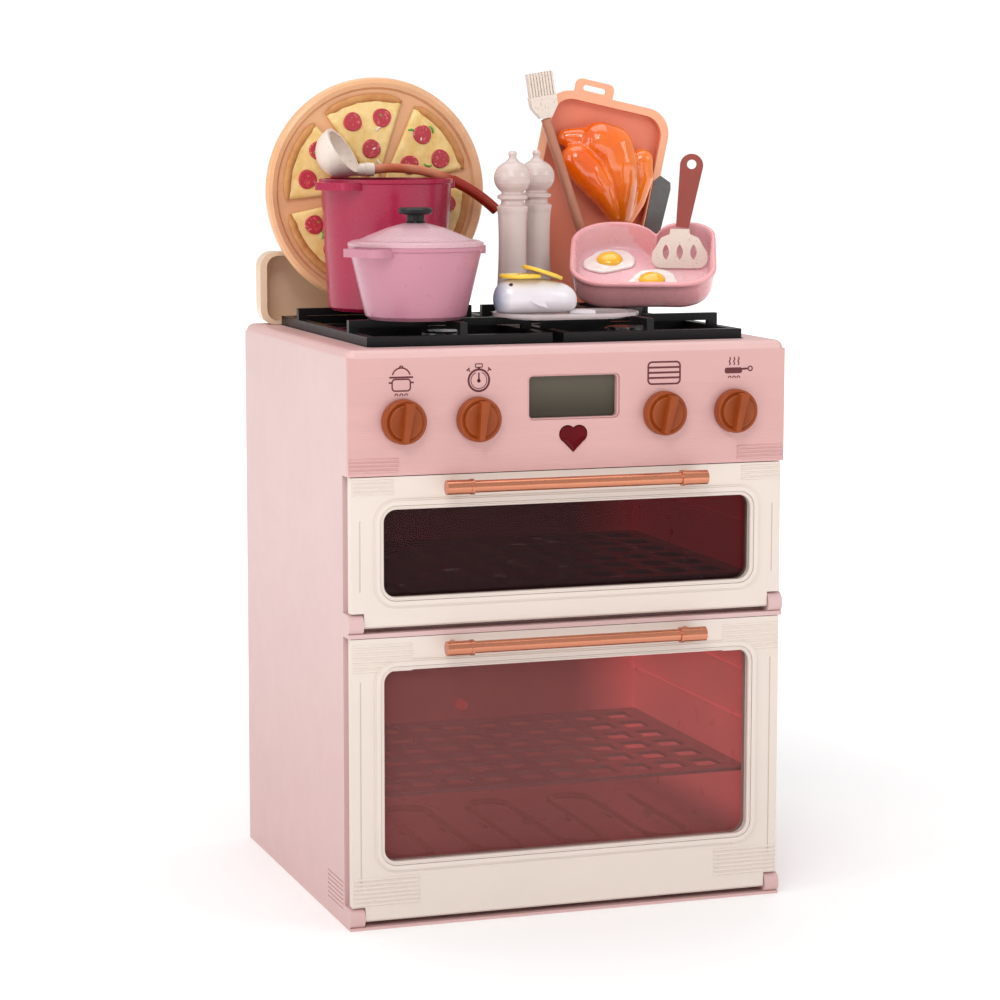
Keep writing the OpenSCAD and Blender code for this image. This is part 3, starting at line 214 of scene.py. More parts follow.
PAN = moulded("pan_pink", (232, 162, 166), rough=0.28, vary=0.02, cell=40, bump=0.05,
              coat=0.25)
PAN_IN = moulded("pan_mauve", (232, 182, 188), rough=0.26, vary=0.02, cell=60, bump=0.05,
                 coat=0.3)
BLADE = moulded("knife_grey", (88, 86, 86), rough=0.28, vary=0.12, cell=26, metallic=0.4,
                grain=1600, bump=0.05, second=(106, 104, 103))
CLEAR = moulded("plate_clear", (214, 200, 200), rough=0.12, vary=0.04, alpha=0.55,
                coat=0.5)
FISH = moulded("fish_silver", (230, 223, 228), rough=0.2, vary=0.04, cell=90, coat=0.5,
               bump=0.12, grain=420)
EYE = moulded("eye_black", (14, 12, 16), rough=0.10, coat=0.8)
WHITE = moulded("egg_white", (238, 228, 224), rough=0.16, vary=0.03, cell=120, coat=0.5,
                bump=0.06, grain=600, sss=0.1)
YOLK = moulded("egg_yolk", (246, 184, 24), rough=0.12, vary=0.06, cell=120, coat=0.7,
               bump=0.03, second=(250, 196, 40), sss=0.1)
LEMON = moulded("lemon_flesh", (244, 212, 104), rough=0.22, vary=0.06, cell=300, coat=0.4,
                bump=0.12, grain=1200, sss=0.1)
RIND = moulded("lemon_rind", (244, 200, 66), rough=0.30, vary=0.08, cell=160, bump=0.2,
               grain=900)
CRUST = moulded("pizza_crust", (216, 158, 96), rough=0.46, vary=0.14, cell=180, bump=0.35,
                grain=700, second=(188, 118, 62), second_at=0.7)
CHEESE = moulded("pizza_cheese", (238, 196, 110), rough=0.30, vary=0.08, cell=160,
                 coat=0.25, bump=0.45, grain=420, second=(246, 216, 150), second_at=0.6)
SALAMI = moulded("pizza_salami", (186, 52, 66), rough=0.30, vary=0.12, cell=300,
                 coat=0.25, bump=0.25, grain=900, specks=(222, 130, 128),
                 speck_scale=900, speck_share=0.38)
GREEN = moulded("pizza_pepper", (96, 164, 60), rough=0.26, vary=0.12, cell=300, coat=0.3)
ONION = moulded("pizza_onion", (236, 222, 214), rough=0.26, vary=0.05, cell=300, coat=0.3)
DISH = moulded("dish_cream", (228, 200, 172), rough=0.30, vary=0.05, cell=30, coat=0.2)
BOARD_GREEN = moulded("circuit_green", (28, 92, 52), rough=0.4, vary=0.14, cell=300)
WIRE = moulded("ribbon_red", (160, 36, 36), rough=0.45, vary=0.10, cell=200)
CELL = moulded("cell_copper", (188, 118, 60), rough=0.3, vary=0.08, metallic=0.6)
LAMP = moulded("lamp_red", (220, 60, 40), rough=0.2, vary=0.1,
               emission=((255, 70, 40), 0.15))
# Painted glow: the heating element, which is no lamp, gives off a little light.
COIL = moulded("coil_orange", (120, 40, 30), rough=0.3, vary=0.12, cell=120,
               emission=((160, 44, 20), 0.08))
GLASS = smoked("window_smoke", (44, 15, 18), 0.44)
# Painted light: the lower window is a lighter copy of the upper window's tint, for the
# brighter look of the lower oven.
GLASS_LOW = smoked("window_smoke_lit", (142, 86, 84), 0.36)


def two_tone(m, axis, start, end, rgb, vary):
    """Fades the colour to rgb between two places (mm) along an axis of the object."""
    t = m.node_tree
    base = shader(m).inputs["Base Color"]
    was = base.links[0].from_socket
    coord = node(t, "ShaderNodeTexCoord", -1300, 600)
    parts = node(t, "ShaderNodeSeparateXYZ", -1120, 600)
    t.links.new(coord.outputs["Object"], parts.inputs["Vector"])
    spots = node(t, "ShaderNodeTexNoise", -920, 820, Scale=60.0, Detail=4.0)
    t.links.new(coord.outputs["Object"], spots.inputs["Vector"])
    tone = ramp(t, -700, 820, (0.3, lin(rgb, 1.0 - vary)), (0.72, lin(rgb, 1.0 + vary)))
    t.links.new(spots.outputs["Fac"], tone.inputs["Fac"])
    mix = node(t, "ShaderNodeMix", -200, 500, data_type="RGBA")
    share = mapped(t, -920, 600, parts.outputs[axis], start * MM, end * MM)
    t.links.new(share, mix.inputs["Factor"])
    t.links.new(was, mix.inputs["A"])
    t.links.new(tone.outputs["Color"], mix.inputs["B"])
    t.links.new(mix.outputs["Result"], base)


# Painted shade: the pink shell turns darker towards the bottom.
two_tone(PINK, "Z", 215, 10, (210, 172, 169), 0.02)
two_tone(CORAL, "Y", 46.9, 46.2, (238, 172, 136), 0.03)
two_tone(LADLE_H, "X", -19, -12, (150, 34, 14), 0.06)
# Painted reflection: the display turns lighter towards its top.
two_tone(LCD, "Z", 216, 234, (98, 92, 80), 0.03)
two_tone(FISH, "X", -18, -24, (120, 134, 160), 0.06)
# Painted light: the chicken turns lighter and more yellow towards its right, the lit
# side.
two_tone(ORANGE, "X", 50, 84, (244, 126, 24), 0.06)
# Painted light: both oven liners turn brighter towards their side walls, as if lit.
for side in (-1, 1):
    two_tone(RED, "X", 56 * side, 88 * side, (206, 40, 46), 0.08)
    two_tone(RED_LOW, "X", 58 * side, 88 * side, (232, 100, 96), 0.08)
# Painted shade: near its floor the lower liner turns one dull red, without the lit side
# walls.
two_tone(RED_LOW, "Z", 36, 22, (118, 46, 48), 0.08)

# Painted light: the oven walls glow a little in their own colour, standing in for light
# that comes in through the shell and windows; the lower oven glows more
for m, strength in ((RED, 0.22), (RED_LOW, 0.45)):
    sockets = shader(m).inputs
    sockets["Emission Strength"].default_value = strength
    m.node_tree.links.new(sockets["Base Color"].links[0].from_socket,
                          sockets["Emission Color"])

LOOK = {
    "cabinet": PINK, "top_frame": LEDGE, "base_plate": PINK, "rear_cover": PINK,
    "case_screws": STEEL, "battery_box": BOX_GREY, "batteries": CELL,
    "battery_door": PINK, "control_panel": PANEL, "display_bezel": PANEL,
    "display_glass": LCD, "main_board": BOARD_GREEN, "wire_loom": WIRE,
    "speaker": STEEL, "oven_lamp": LAMP, "heart_button": HEART,
    "knob_1": CARAMEL, "knob_2": CARAMEL, "knob_3": CARAMEL, "knob_4": CARAMEL,
    "hob_plate": HOB, "left_pan_support": BLACK,
    "right_pan_support": BLACK, "upper_liner": RED, "lower_liner": RED_LOW,
    "upper_rack": RACKS, "lower_rack": RACKS, "heating_element": COIL,
    "hinge_pins": STEEL, "upper_door_frame": CREAM, "upper_door_back": CREAM,
    "upper_door_glass": GLASS,
    "upper_door_handle": COPPER, "lower_door_frame": CREAM, "lower_door_back": CREAM,
    "lower_door_glass": GLASS_LOW, "lower_door_handle": COPPER, "sauce_pot": MAUVE,
    "pot_lid": LID, "lid_knob": BLACK, "stock_pot": RASP, "ladle_head": SPECKLED,
    "ladle_handle": LADLE_H, "round_board": BOARD_TAN, "pizza_slices": CHEESE,
    "salt_mill": PEARL, "pepper_mill": PEARL, "baking_tray": CORAL,
    "roast_chicken": ORANGE, "brush_head": SPECKLED, "brush_handle": WOODY,
    "knife": BLADE, "frying_pan": PAN, "fried_eggs": WHITE, "spatula_head": SPECKLED,
    "spatula_handle": RUST, "serving_plate": CLEAR, "fish": FISH, "lemon_slices": LEMON,
    "roasting_dish": DISH,
}
for name, obj in nodes.items():
    m = LOOK[name]
    if not obj.material_slots:
        obj.data.materials.append(m)
    for s in obj.material_slots:
        s.material = m

# Soft edges on the moulded shells
EDGE_WIDTH = 0.0003                     # metres
EDGE_ANGLE = 38                         # degrees
for name in ("cabinet", "top_frame", "base_plate", "rear_cover", "upper_door_frame",
             "lower_door_frame", "upper_door_back", "lower_door_back", "control_panel",
             "display_bezel", "battery_door", "left_pan_support", "right_pan_support",
             "baking_tray", "frying_pan", "roasting_dish", "spatula_head",
             "spatula_handle", "knife", "brush_head", "knob_1", "knob_2", "knob_3",
             "knob_4", "hob_plate"):
    bev = nodes[name].modifiers.new("edge", "BEVEL")
    bev.width = EDGE_WIDTH
    bev.segments = 2
    bev.limit_method = "ANGLE"
    bev.angle_limit = math.radians(EDGE_ANGLE)
    bev.use_clamp_overlap = True
    bev.harden_normals = True


# -------------------------------------------------------- mesh helpers
# A part is a pair of lists: points in millimetres, and faces that number them.

def mesh_piece(name, part, mat, body, smooth=True, where=Matrix()):
    """A mesh from a part, placed by the matrix where, riding on body."""
    verts, faces = part
    me = bpy.data.meshes.new(name)
    me.from_pydata([(where @ Vector(v)) * MM for v in verts], [], faces)
    bm = bmesh.new()
    bm.from_mesh(me)
    bmesh.ops.recalc_face_normals(bm, faces=bm.faces)
    bm.to_mesh(me)
    bm.free()
    for p in me.polygons:
        p.use_smooth = smooth
    me.materials.append(mat)
    o = bpy.data.objects.new(name, me)
    scene.collection.objects.link(o)
    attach(o, body)
    return o


def turned(axis, deg):
    return Matrix.Rotation(math.radians(deg), 4, axis)


def around(n):
    """n angles, evenly spread over a full turn."""
    return [2 * math.pi * i / n for i in range(n)]


def bands(rows, n, closed=False):
    """Quads between neighbouring rings of n points; closed joins last and first."""
    out = []
    for j in range(rows if closed else rows - 1):
        a, b = j * n, (j + 1) % rows * n
        out += [(a + i, a + (i + 1) % n, b + (i + 1) % n, b + i) for i in range(n)]
    return out


def first_cap(n):
    """The face that closes the first ring."""
    return tuple(reversed(range(n)))


def last_cap(rows, n):
    """The face that closes the last ring."""
    return tuple((rows - 1) * n + i for i in range(n))


def join(parts):
    """One part made of several."""
    verts, faces = [], []
    for v, f in parts:
        base = len(verts)
        verts += v
        faces += [tuple(base + i for i in q) for q in f]
    return verts, faces


def placed(part, where):
    """The part moved by the matrix where."""
    v, f = part
    return [tuple(where @ Vector(p)) for p in v], f


def ribbon(points, width, closed=False):
    """Outline of a flat stroke along 2D points: left and right rims, mitred."""
    n = len(points)
    left, right = [], []
    for i in range(n):
        a = Vector(points[i - 1] if (i or closed) else points[i])
        b = Vector(points[i])
        c = Vector(points[(i + 1) % n] if (i < n - 1 or closed) else points[i])
        d1 = (b - a).normalized() if (b - a).length > 1e-9 else (c - b).normalized()
        d2 = (c - b).normalized() if (c - b).length > 1e-9 else d1
        m = (Vector((-d1.y, d1.x)) + Vector((-d2.y, d2.x)))
        m = m.normalized() if m.length > 1e-6 else Vector((-d1.y, d1.x))
        k = max(0.5, m.dot(Vector((-d1.y, d1.x))))
        left.append(b + m * (width / 2 / k))
        right.append(b - m * (width / 2 / k))
    return left, right


class Marks:
    """Flat raised marks, thin slabs between the planes y = front and y = back."""

    def __init__(self, front, back):
        self.front, self.back = front, back
        self.verts, self.faces = [], []

    def stroke(self, points, width, closed=False):
        left, right = ribbon(points, width, closed)
        base = len(self.verts)
        n = len(points)
        for p, q in zip(left, right):
            self.verts += [(p.x, self.front, p.y), (q.x, self.front, q.y),
                           (p.x, self.back, p.y), (q.x, self.back, q.y)]
        for i in range(n if closed else n - 1):
            a = base + 4 * i
            b = base + 4 * ((i + 1) % n)
            self.faces += [(a, b, b + 1, a + 1), (a + 2, a + 3, b + 3, b + 2),
                           (a, a + 2, b + 2, b), (a + 1, b + 1, b + 3, a + 3)]
        if not closed:
            a, b = base, base + 4 * (n - 1)
            self.faces += [(a, a + 1, a + 3, a + 2), (b, b + 2, b + 3, b + 1)]

    def fill(self, points):
        base = len(self.verts)
        n = len(points)
        self.verts += [(x, self.front, z) for x, z in points]
        self.verts += [(x, self.back, z) for x, z in points]
        self.faces.append(tuple(base + i for i in range(n)))
        self.faces.append(tuple(base + n + i for i in reversed(range(n))))
        for i in range(n):
            j = (i + 1) % n
            self.faces.append((base + i, base + n + i, base + n + j, base + j))


def arc(cx, cz, r, a0, a1, n=24):
    """Points on an arc from a0 to a1 degrees."""
    steps = [math.radians(a0 + (a1 - a0) * i / n) for i in range(n + 1)]
    return [(cx + r * math.cos(a), cz + r * math.sin(a)) for a in steps]


def round_box(x0, z0, x1, z1, r, n=6):
    """Outline of a rectangle with rounded corners."""
    out = []
    for cx, cz, a in ((x1 - r, z1 - r, 0), (x0 + r, z1 - r, 90), (x0 + r, z0 + r, 180),
                      (x1 - r, z0 + r, 270)):
        out += arc(cx, cz, r, a, a + 90, n)
    return out


# -------------------------------------------------------- marks on the control panel
# Drawn as x and z on the panel's face

PANEL_Y = -86.0                         # front of the control panel and the doors
marks = Marks(PANEL_Y - 0.06, PANEL_Y + 0.1)
# oven rack
marks.stroke(round_box(34.5, 226.1, 49.0, 235.4, 1.7), 0.75, closed=True)
for z in (233.1, 230.9, 228.7):
    marks.fill([(34.9, z - 0.42), (48.6, z - 0.42), (48.6, z + 0.42), (34.9, z + 0.42)])
# frying pan with steam above and flames below
marks.fill(round_box(69.6, 229.7, 77.6, 232.2, 0.9))
marks.stroke([(77.4, 231.5), (80.2, 231.6)], 0.8)
marks.stroke(arc(81.4, 231.6, 0.95, 0, 345, 20), 0.55, closed=True)
for x in (71.9, 73.9, 75.9):
    marks.stroke([(x - 0.2, 233.2), (x + 0.25, 233.9), (x - 0.25, 234.9),
                  (x + 0.25, 235.8), (x, 236.7)], 0.5)
    marks.stroke(arc(x, 227.9, 0.62, 200, -20, 10), 0.42)
# stop watch: a heavy ring, a fine one open at the top, the hand, crown and side buttons
marks.stroke(arc(-40.9, 229.9, 4.5, 0, 357.5, 48), 0.9, closed=True)
marks.stroke(arc(-40.9, 229.9, 3.45, 112, 428, 40), 0.34)
marks.stroke([(-40.9, 229.3), (-40.9, 233.1)], 0.62)
marks.fill(arc(-40.9, 229.7, 0.8, 0, 345, 16))
marks.fill([(-41.3, 234.5), (-40.5, 234.5), (-40.5, 235.5), (-41.3, 235.5)])
marks.stroke(round_box(-42.4, 235.3, -39.4, 236.7, 0.3), 0.42, closed=True)
for side in (-1, 1):
    x = -40.9 + side * 4.3
    marks.stroke([(x - side * 0.5, 233.6), (x + side * 0.35, 234.5)], 0.5)
    marks.stroke([(x - side * 0.25, 235.1), (x + side * 1.0, 233.95)], 0.6)
# pot with a lid
marks.stroke(round_box(-78.4, 226.4, -70.6, 231.2, 1.3), 0.6, closed=True)
marks.stroke([(-79.6, 232.0), (-69.4, 232.0)], 0.75)
marks.stroke(arc(-74.5, 232.0, 3.9, 165, 15, 16), 0.6)
marks.stroke(arc(-74.5, 236.0, 0.7, 200, -20, 8), 0.5)
marks.stroke([(-79.9, 229.8), (-78.6, 229.8)], 0.7)
marks.stroke([(-70.4, 229.8), (-69.1, 229.8)], 0.7)
for x in (-76.6, -74.5, -72.4):
    marks.stroke(arc(x, 224.6, 0.62, 200, -20, 10), 0.42)
mesh_piece("panel_icons", (marks.verts, marks.faces), ICON, "root", smooth=False)


# -------------------------------------------------------- heart button, window lips

HEART_SIDE = 6.9                        # 0.1 less than the CAD button
HEART_X, HEART_Z = 0.9, 203.6
# Rings from the back to the middle of the face: share of the rim's size, and depth
# behind the panel's front
HEART_RINGS = ((1.0, 0.9), (1.0, -0.3), (0.99, -0.5), (0.96, -0.62), (0.92, -0.66),
               (0.84, -0.6), (0.66, -0.35), (0.5, -0.2), (0.3, -0.16), (0.1, -0.15))


def heart_outline(side, n=120):
    """Outline of the heart: a square on its corner with two round lobes."""
    r, h = side * 0.515, side / (2 * math.sqrt(2))
    reach = side / math.sqrt(2)
    out = []
    for a in around(n):
        dx, dz = math.cos(a + math.pi / 2), math.sin(a + math.pi / 2)
        t = reach / max(1e-9, abs(dx) + abs(dz))
        for cx in (-h, h):
            along = dx * cx + dz * h
            inside = along * along - (cx * cx + h * h - r * r)
            if inside > 0:
                t = max(t, along + math.sqrt(inside))
        out.append((t * dx, t * dz))
    return out


def heart():
    """The button with a raised rim and a dished face."""
    rim = heart_outline(HEART_SIDE)
    n, rows = len(rim), len(HEART_RINGS)
    verts = [(HEART_X + x * k, PANEL_Y + y, HEART_Z + z * k)
             for k, y in HEART_RINGS for x, z in rim]
    return verts, bands(rows, n) + [tuple(range(n)), last_cap(rows, n)]


gem = mesh_piece("heart_gem", heart(), HEART, "heart_button", smooth=False)
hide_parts("heart_button")

WINDOW_HALF_W, WINDOW_R = 82.8, 6.0
# Inset from the window's edge, and depth from the panel, all round a lip's section
LIP_SECTION = ((-0.3, -0.34), (0.05, -0.36), (0.3, -0.27), (0.5, -0.05), (0.62, 0.3),
               (0.66, 0.8), (0.66, 1.6), (-0.3, 1.6))


def window_lip(z0, h):
    """Rounded inner edge of a door's window, which is h high and starts at z0."""
    verts = []
    for d, y in LIP_SECTION:
        pts = round_box(-WINDOW_HALF_W + d, z0 + d, WINDOW_HALF_W - d, z0 + h - d,
                        WINDOW_R - d, n=12)
        verts += [(x, PANEL_Y + y, z) for x, z in pts]
    return verts, bands(len(LIP_SECTION), len(pts), closed=True)


mesh_piece("lower_window_lip", window_lip(27.9, 82.6), CREAM, "lower_door")
mesh_piece("upper_window_lip", window_lip(140.1, 37.8), CREAM, "upper_door")


# -------------------------------------------------------- frying pan and eggs

PAN_AT = (Matrix.Translation((53.5, -31.0, 252.9)) @ turned("Z", -22) @ turned("X", 26))
PAN_MIDDLE = (6.5, 25.0)
PAN_WALL = 2.0
PAN_STEP = 0.05
# The outline is three rounded rectangles: centre x and y, width, height, corner radius
PAN_LOBES = ((0, 22.5, 64, 45, 16), (-12.75, 32.5, 38.5, 49, 18),
             (19.25, 32.5, 25.5, 49, 12.15))
PAN_FLOOR = ((0, 22.5, 60.6, 41.6, 14.3), (-12.75, 32.5, 35.1, 45.6, 16.3),
             (19.25, 32.5, 22.1, 45.6, 10.4))
# Inset from the outline, and height: from the foot up the outside, over the rim, and down
PAN_SECTION = ((7.0, 0.05), (5.0, 0.1), (3.5, 0.45), (2.5, 1.15), (1.9, 2.2), (1.5, 3.6),
               (1.0, 6.5), (0.5, 9.6), (0.2, 12.0), (-0.1, 12.35), (-0.5, 12.6),
               (-0.58, 13.3), (-0.45, 14.0), (0.0, 14.4), (0.7, 14.5), (1.3, 14.4),
               (1.75, 14.0), (2.0, 13.0), (2.2, 9.0), (2.35, 5.5), (2.55, 4.0),
               (3.0, 2.95), (3.8, 2.3), (5.2, 2.05), (8.0, PAN_WALL))


def in_lobes(x, y, lobes):
    """Whether a point lies in one of the rounded rectangles."""
    for cx, cy, w, h, r in lobes:
        dx = max(0.0, abs(x - cx) - (w / 2 - r))
        dy = max(0.0, abs(y - cy) - (h / 2 - r))
        if dx * dx + dy * dy <= r * r:
            return True
    return False


def pan_reaches(n=240):
    """How far the pan's two-lobed outline lies from its middle, all the way round."""
    cx, cy = PAN_MIDDLE
    out = []
    for a in around(n):
        t = 14.0
        while in_lobes(cx + t * math.cos(a), cy + t * math.sin(a), PAN_LOBES):
            t += PAN_STEP
        out.append(t - PAN_STEP)
    for _ in range(3):
        out = [(out[i - 1] + 2 * out[i] + out[(i + 1) % n]) / 4 for i in range(n)]
    return out


def pan_shell():
    """Pan with a rounded foot, leaning sides, a rolled rim and a soft inner corner."""
    cx, cy = PAN_MIDDLE
    reach = pan_reaches()
    n, rows = len(reach), len(PAN_SECTION)
    verts = [(cx + (r - inset) * math.cos(a), cy + (r - inset) * math.sin(a), z)
             for inset, z in PAN_SECTION for a, r in zip(around(n), reach)]
    faces = bands(rows, n)
    below = len(verts)
    verts += [(cx, cy, PAN_SECTION[0][1]), (cx, cy, PAN_WALL)]
    for i in range(n):
        j = (i + 1) % n
        faces.append((j, i, below))
        faces.append(((rows - 1) * n + i, (rows - 1) * n + j, below + 1))
    return verts, faces


pan = mesh_piece("pan_shell", pan_shell(), PAN, "frying_pan", where=PAN_AT)
pan.data.materials.append(PAN_IN)
to_pan = PAN_AT.inverted()
for poly in pan.data.polygons:
    c = to_pan @ (poly.center / MM)
    if c.z > PAN_WALL - 0.1 and in_lobes(c.x, c.y, PAN_FLOOR):
        poly.material_index = 1
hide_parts("frying_pan")

EGGS = [(-15.2, 41.4, 0), (4.0, 22.6, 12)]      # place in the pan, and turn in degrees
EGG_Z = 2.2                             # underside of a white, over the pan's own bottom
YOLK_Z, YOLK_R, YOLK_H = 3.1, 5.9, 3.3
# Rings of a white from under its edge to the middle: size against the edge, height
WHITE_RINGS = ((1.0, 0.0), (1.012, 0.32), (1.0, 0.7), (0.975, 1.0), (0.93, 1.15),
               (0.86, 1.14), (0.78, 1.08), (0.70, 1.06), (0.62, 1.10), (0.55, 1.22),
               (0.46, 1.42), (0.36, 1.6), (0.25, 1.7), (0.12, 1.7))


def egg_white(cx, cy, turn, seed, n=96):
    """Irregular thin white: rings from the rim inwards, thicker round the yolk."""
    rnd = random.Random(seed)
    ph = [rnd.uniform(0, 6.28) for _ in range(5)]
    c, s = math.cos(math.radians(turn)), math.sin(math.radians(turn))

    def reach(a):
        lobes = (9.6 + 2.4 * max(0, math.cos(a - 0.46)) ** 2
                 + 2.6 * max(0, math.cos(a - 3.73)) ** 2)
        return (lobes + 0.5 * math.sin(3 * a + ph[0]) + 0.32 * math.sin(5 * a + ph[1])
                + 0.15 * math.sin(9 * a + ph[2]))

    verts = []
    for k, h in WHITE_RINGS:
        for a in around(n):
            r = reach(a) * k
            x, y = r * math.cos(a), r * math.sin(a)
            lump = 0.10 * math.sin(x * 0.9 + ph[3]) * math.cos(y * 0.8 + ph[4])
            z = EGG_Z + h + (lump if h > 0.5 else 0.0)
            verts.append((cx + (x * c - y * s), cy + (x * s + y * c), z))
    rows = len(WHITE_RINGS)
    return verts, bands(rows, n) + [last_cap(rows, n), first_cap(n)]


def dome(cx, cy, z0, r, h, seed, wobble=0.03, n=64, rows=14):
    """A yolk: a dome on a slightly uneven round."""
    rnd = random.Random(seed)
    p1, p2 = rnd.uniform(0, 6.28), rnd.uniform(0, 6.28)
    verts = []
    for j in range(rows):
        t = j / rows * math.pi / 2
        for a in around(n):
            k = 1 + wobble * math.sin(2 * a + p1) + wobble * 0.5 * math.sin(3 * a + p2)
            verts.append((cx + r * k * math.cos(t) * math.cos(a),
                          cy + r * k * math.cos(t) * math.sin(a), z0 + h * math.sin(t)))
    verts.append((cx, cy, z0 + h))
    top, last = len(verts) - 1, (rows - 1) * n
    fan = [(last + i, last + (i + 1) % n, top) for i in range(n)]
    return verts, bands(rows, n) + fan + [first_cap(n)]


whites = mesh_piece("egg_whites", join([egg_white(x, y, turn, 11 + i)
                                        for i, (x, y, turn) in enumerate(EGGS)]),
                    WHITE, "fried_eggs", where=PAN_AT)
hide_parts("fried_eggs")
mesh_piece("egg_yolks", join([dome(x, y, YOLK_Z, YOLK_R, YOLK_H, 3 + i)
                              for i, (x, y, _) in enumerate(EGGS)]),
           YOLK, "fried_eggs", where=PAN_AT)


# -------------------------------------------------------- pizza

BOARD_FRONT, BOARD_T, BOARD_FLOOR_T = 53.8, 6, 4    # the slices lie in its recess
PIZZA_GAP = 0.05
PIZZA_Y = BOARD_FRONT + BOARD_T - BOARD_FLOOR_T - PIZZA_GAP
PIZZA_AT = (Matrix.Translation((-43.0, PIZZA_Y, 304.3)) @ turned("X", 90))
SLICES = 6
SLICE_ANGLE = 54.0                      # degrees
SLICE_R = 39.4
CRUST_R = 39.9
SALAMI_AT = ((17, 26), (31, 13), (31, 39))      # on each slice: radius, angle in degrees
SALAMI_Z, SALAMI_R, SALAMI_T = 1.6, 4.3, 1.35
STRIP_BEND = 2.4                        # radius that the pepper and onion strips follow
STRIP_W, STRIP_Z, STRIP_H = 1.3, 1.7, 1.2


def slice_place(i):
    """Where slice i lies: turned round the board's middle, and a little away from it."""
    return (PIZZA_AT @ turned("Z", i * (360 // SLICES) + 12)
            @ Matrix.Translation((2.2, 1.2, 0)))


def slice_cheese(i):
    """A wedge of cheese and base, its top in soft lumps."""
    across, out = 22, 26                # steps
    row = across + 1
    shift = Vector((i * 7.3, i * 3.1, 0.0))
    verts, faces = [], []
    for j in range(out + 1):
        r = SLICE_R * (j / out)
        for k in range(row):
            a = math.radians(SLICE_ANGLE * k / across)
            x, y = r * math.cos(a), r * math.sin(a)
            edge = min(r * math.sin(a), r * math.sin(math.radians(SLICE_ANGLE) - a))
            e = min(1.0, max(0.0, edge / 1.3))
            h = 1.5 + 0.65 * math.sqrt(e)
            h += 0.26 * e * mnoise.noise(Vector((x * 0.32, y * 0.32, 0)) + shift)
            h += 0.12 * e * mnoise.noise(Vector((x * 0.95, y * 0.95, 3)) + shift)
            verts.append((x, y, h))
    m = len(verts)
    verts += [(x, y, 0.0) for x, y, _ in verts[:m]]
    for j in range(out):
        for k in range(across):
            a, b = j * row + k, (j + 1) * row + k
            faces.append((a, b, b + 1, a + 1))
            faces.append((m + a, m + a + 1, m + b + 1, m + b))
    for k in range(across):
        a = out * row + k
        faces.append((a, m + a, m + a + 1, a + 1))
    for j in range(out):
        a, b = j * row, (j + 1) * row
        faces.append((a, m + a, m + b, b))
        a, b = a + across, b + across
        faces.append((a, b, m + b, m + a))
    return verts, faces


def slice_crust(i):
    """The raised outer rim of a slice, with uneven bulges."""
    along, n = 40, 16                   # steps along the crust and round it
    phase = random.Random(50 + i).uniform(0, 6.28)
    verts = []
    for k in range(along + 1):
        t = k / along
        a = math.radians(SLICE_ANGLE * t)
        bulge = (1 + 0.08 * math.sin(9 * t * math.pi + phase)
                 + 0.05 * math.sin(17 * t * math.pi))
        taper = min(1.0, 0.35 + 6 * min(t, 1 - t))
        for b in around(n):
            r = CRUST_R + 1.9 * taper * math.cos(b)
            z = 1.5 + 1.45 * bulge * taper * math.sin(b)
            verts.append((r * math.cos(a), r * math.sin(a), max(0.0, z)))
    end = tuple(along * n + c for c in reversed(range(n)))
    return verts, bands(along + 1, n) + [tuple(range(n)), end]


def disc(cx, cy, z0, r, h, rim=0.4, n=36, dish=0.12, seed=0, wobble=0.03):
    """A round with a soft rim and a slightly dished middle."""
    phase = random.Random(seed).uniform(0, 6.28)
    section = ((r, z0), (r, z0 + h - rim), (r - rim * 0.3, z0 + h - rim * 0.3),
               (r - rim, z0 + h), (r * 0.7, z0 + h - dish * 0.7),
               (r * 0.35, z0 + h - dish))
    verts = []
    for rr, z in section:
        for a in around(n):
            k = 1 + wobble * math.sin(3 * a + phase)
            verts.append((cx + rr * k * math.cos(a), cy + rr * k * math.sin(a), z))
    rows = len(section)
    return verts, bands(rows, n) + [last_cap(rows, n), first_cap(n)]


def strip(points, w, z0, h):
    """A curved raised strip, for pieces of pepper and onion."""
    left, right = ribbon(points, w)
    n = len(points)
    verts = []
    for i, (p, q) in enumerate(zip(left, right)):
        k = math.sin(math.pi * (0.08 + 0.84 * (i / (n - 1)))) ** 0.5
        mid = (p + q) / 2
        p, q = mid + (p - mid) * k, mid + (q - mid) * k
        p2, q2 = mid + (p - mid) * 0.5, mid + (q - mid) * 0.5
        verts += [(p.x, p.y, z0), (p2.x, p2.y, z0 + h * k), (q2.x, q2.y, z0 + h * k),
                  (q.x, q.y, z0)]
    return verts, bands(n, 4) + [first_cap(4), last_cap(n, 4)]


cheese, crusts, salami, greens, onions = [], [], [], [], []
rnd = random.Random(5)
for i in range(SLICES):
    w = slice_place(i)
    cheese.append(placed(slice_cheese(i), w))
    crusts.append(placed(slice_crust(i), w))
    for r, deg in SALAMI_AT:
        a = math.radians(deg)
        salami.append(placed(disc(r * math.cos(a), r * math.sin(a), SALAMI_Z, SALAMI_R,
                                  SALAMI_T, seed=i * 9 + r + deg), w))
    for _ in range(4):
        r, a = rnd.uniform(12, 36), math.radians(rnd.uniform(6, 48))
        x, y, d = r * math.cos(a), r * math.sin(a), rnd.uniform(0, 6.28)
        curve = [(x + STRIP_BEND * math.cos(d + t) - STRIP_BEND * math.cos(d),
                  y + STRIP_BEND * math.sin(d + t) - STRIP_BEND * math.sin(d))
                 for t in [0.22 * s for s in range(9)]]
        (greens if rnd.random() < 0.6 else onions).append(
            placed(strip(curve, STRIP_W, STRIP_Z, STRIP_H), w))
for name, parts, mat in (("pizza_cheese", cheese, CHEESE),
                         ("pizza_crust", crusts, CRUST),
                         ("pizza_salami", salami, SALAMI),
                         ("pizza_pepper", greens, GREEN),
                         ("pizza_onion", onions, ONION)):
    mesh_piece(name, join(parts), mat, "board")
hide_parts("pizza_slices")


# -------------------------------------------------------- roast chicken

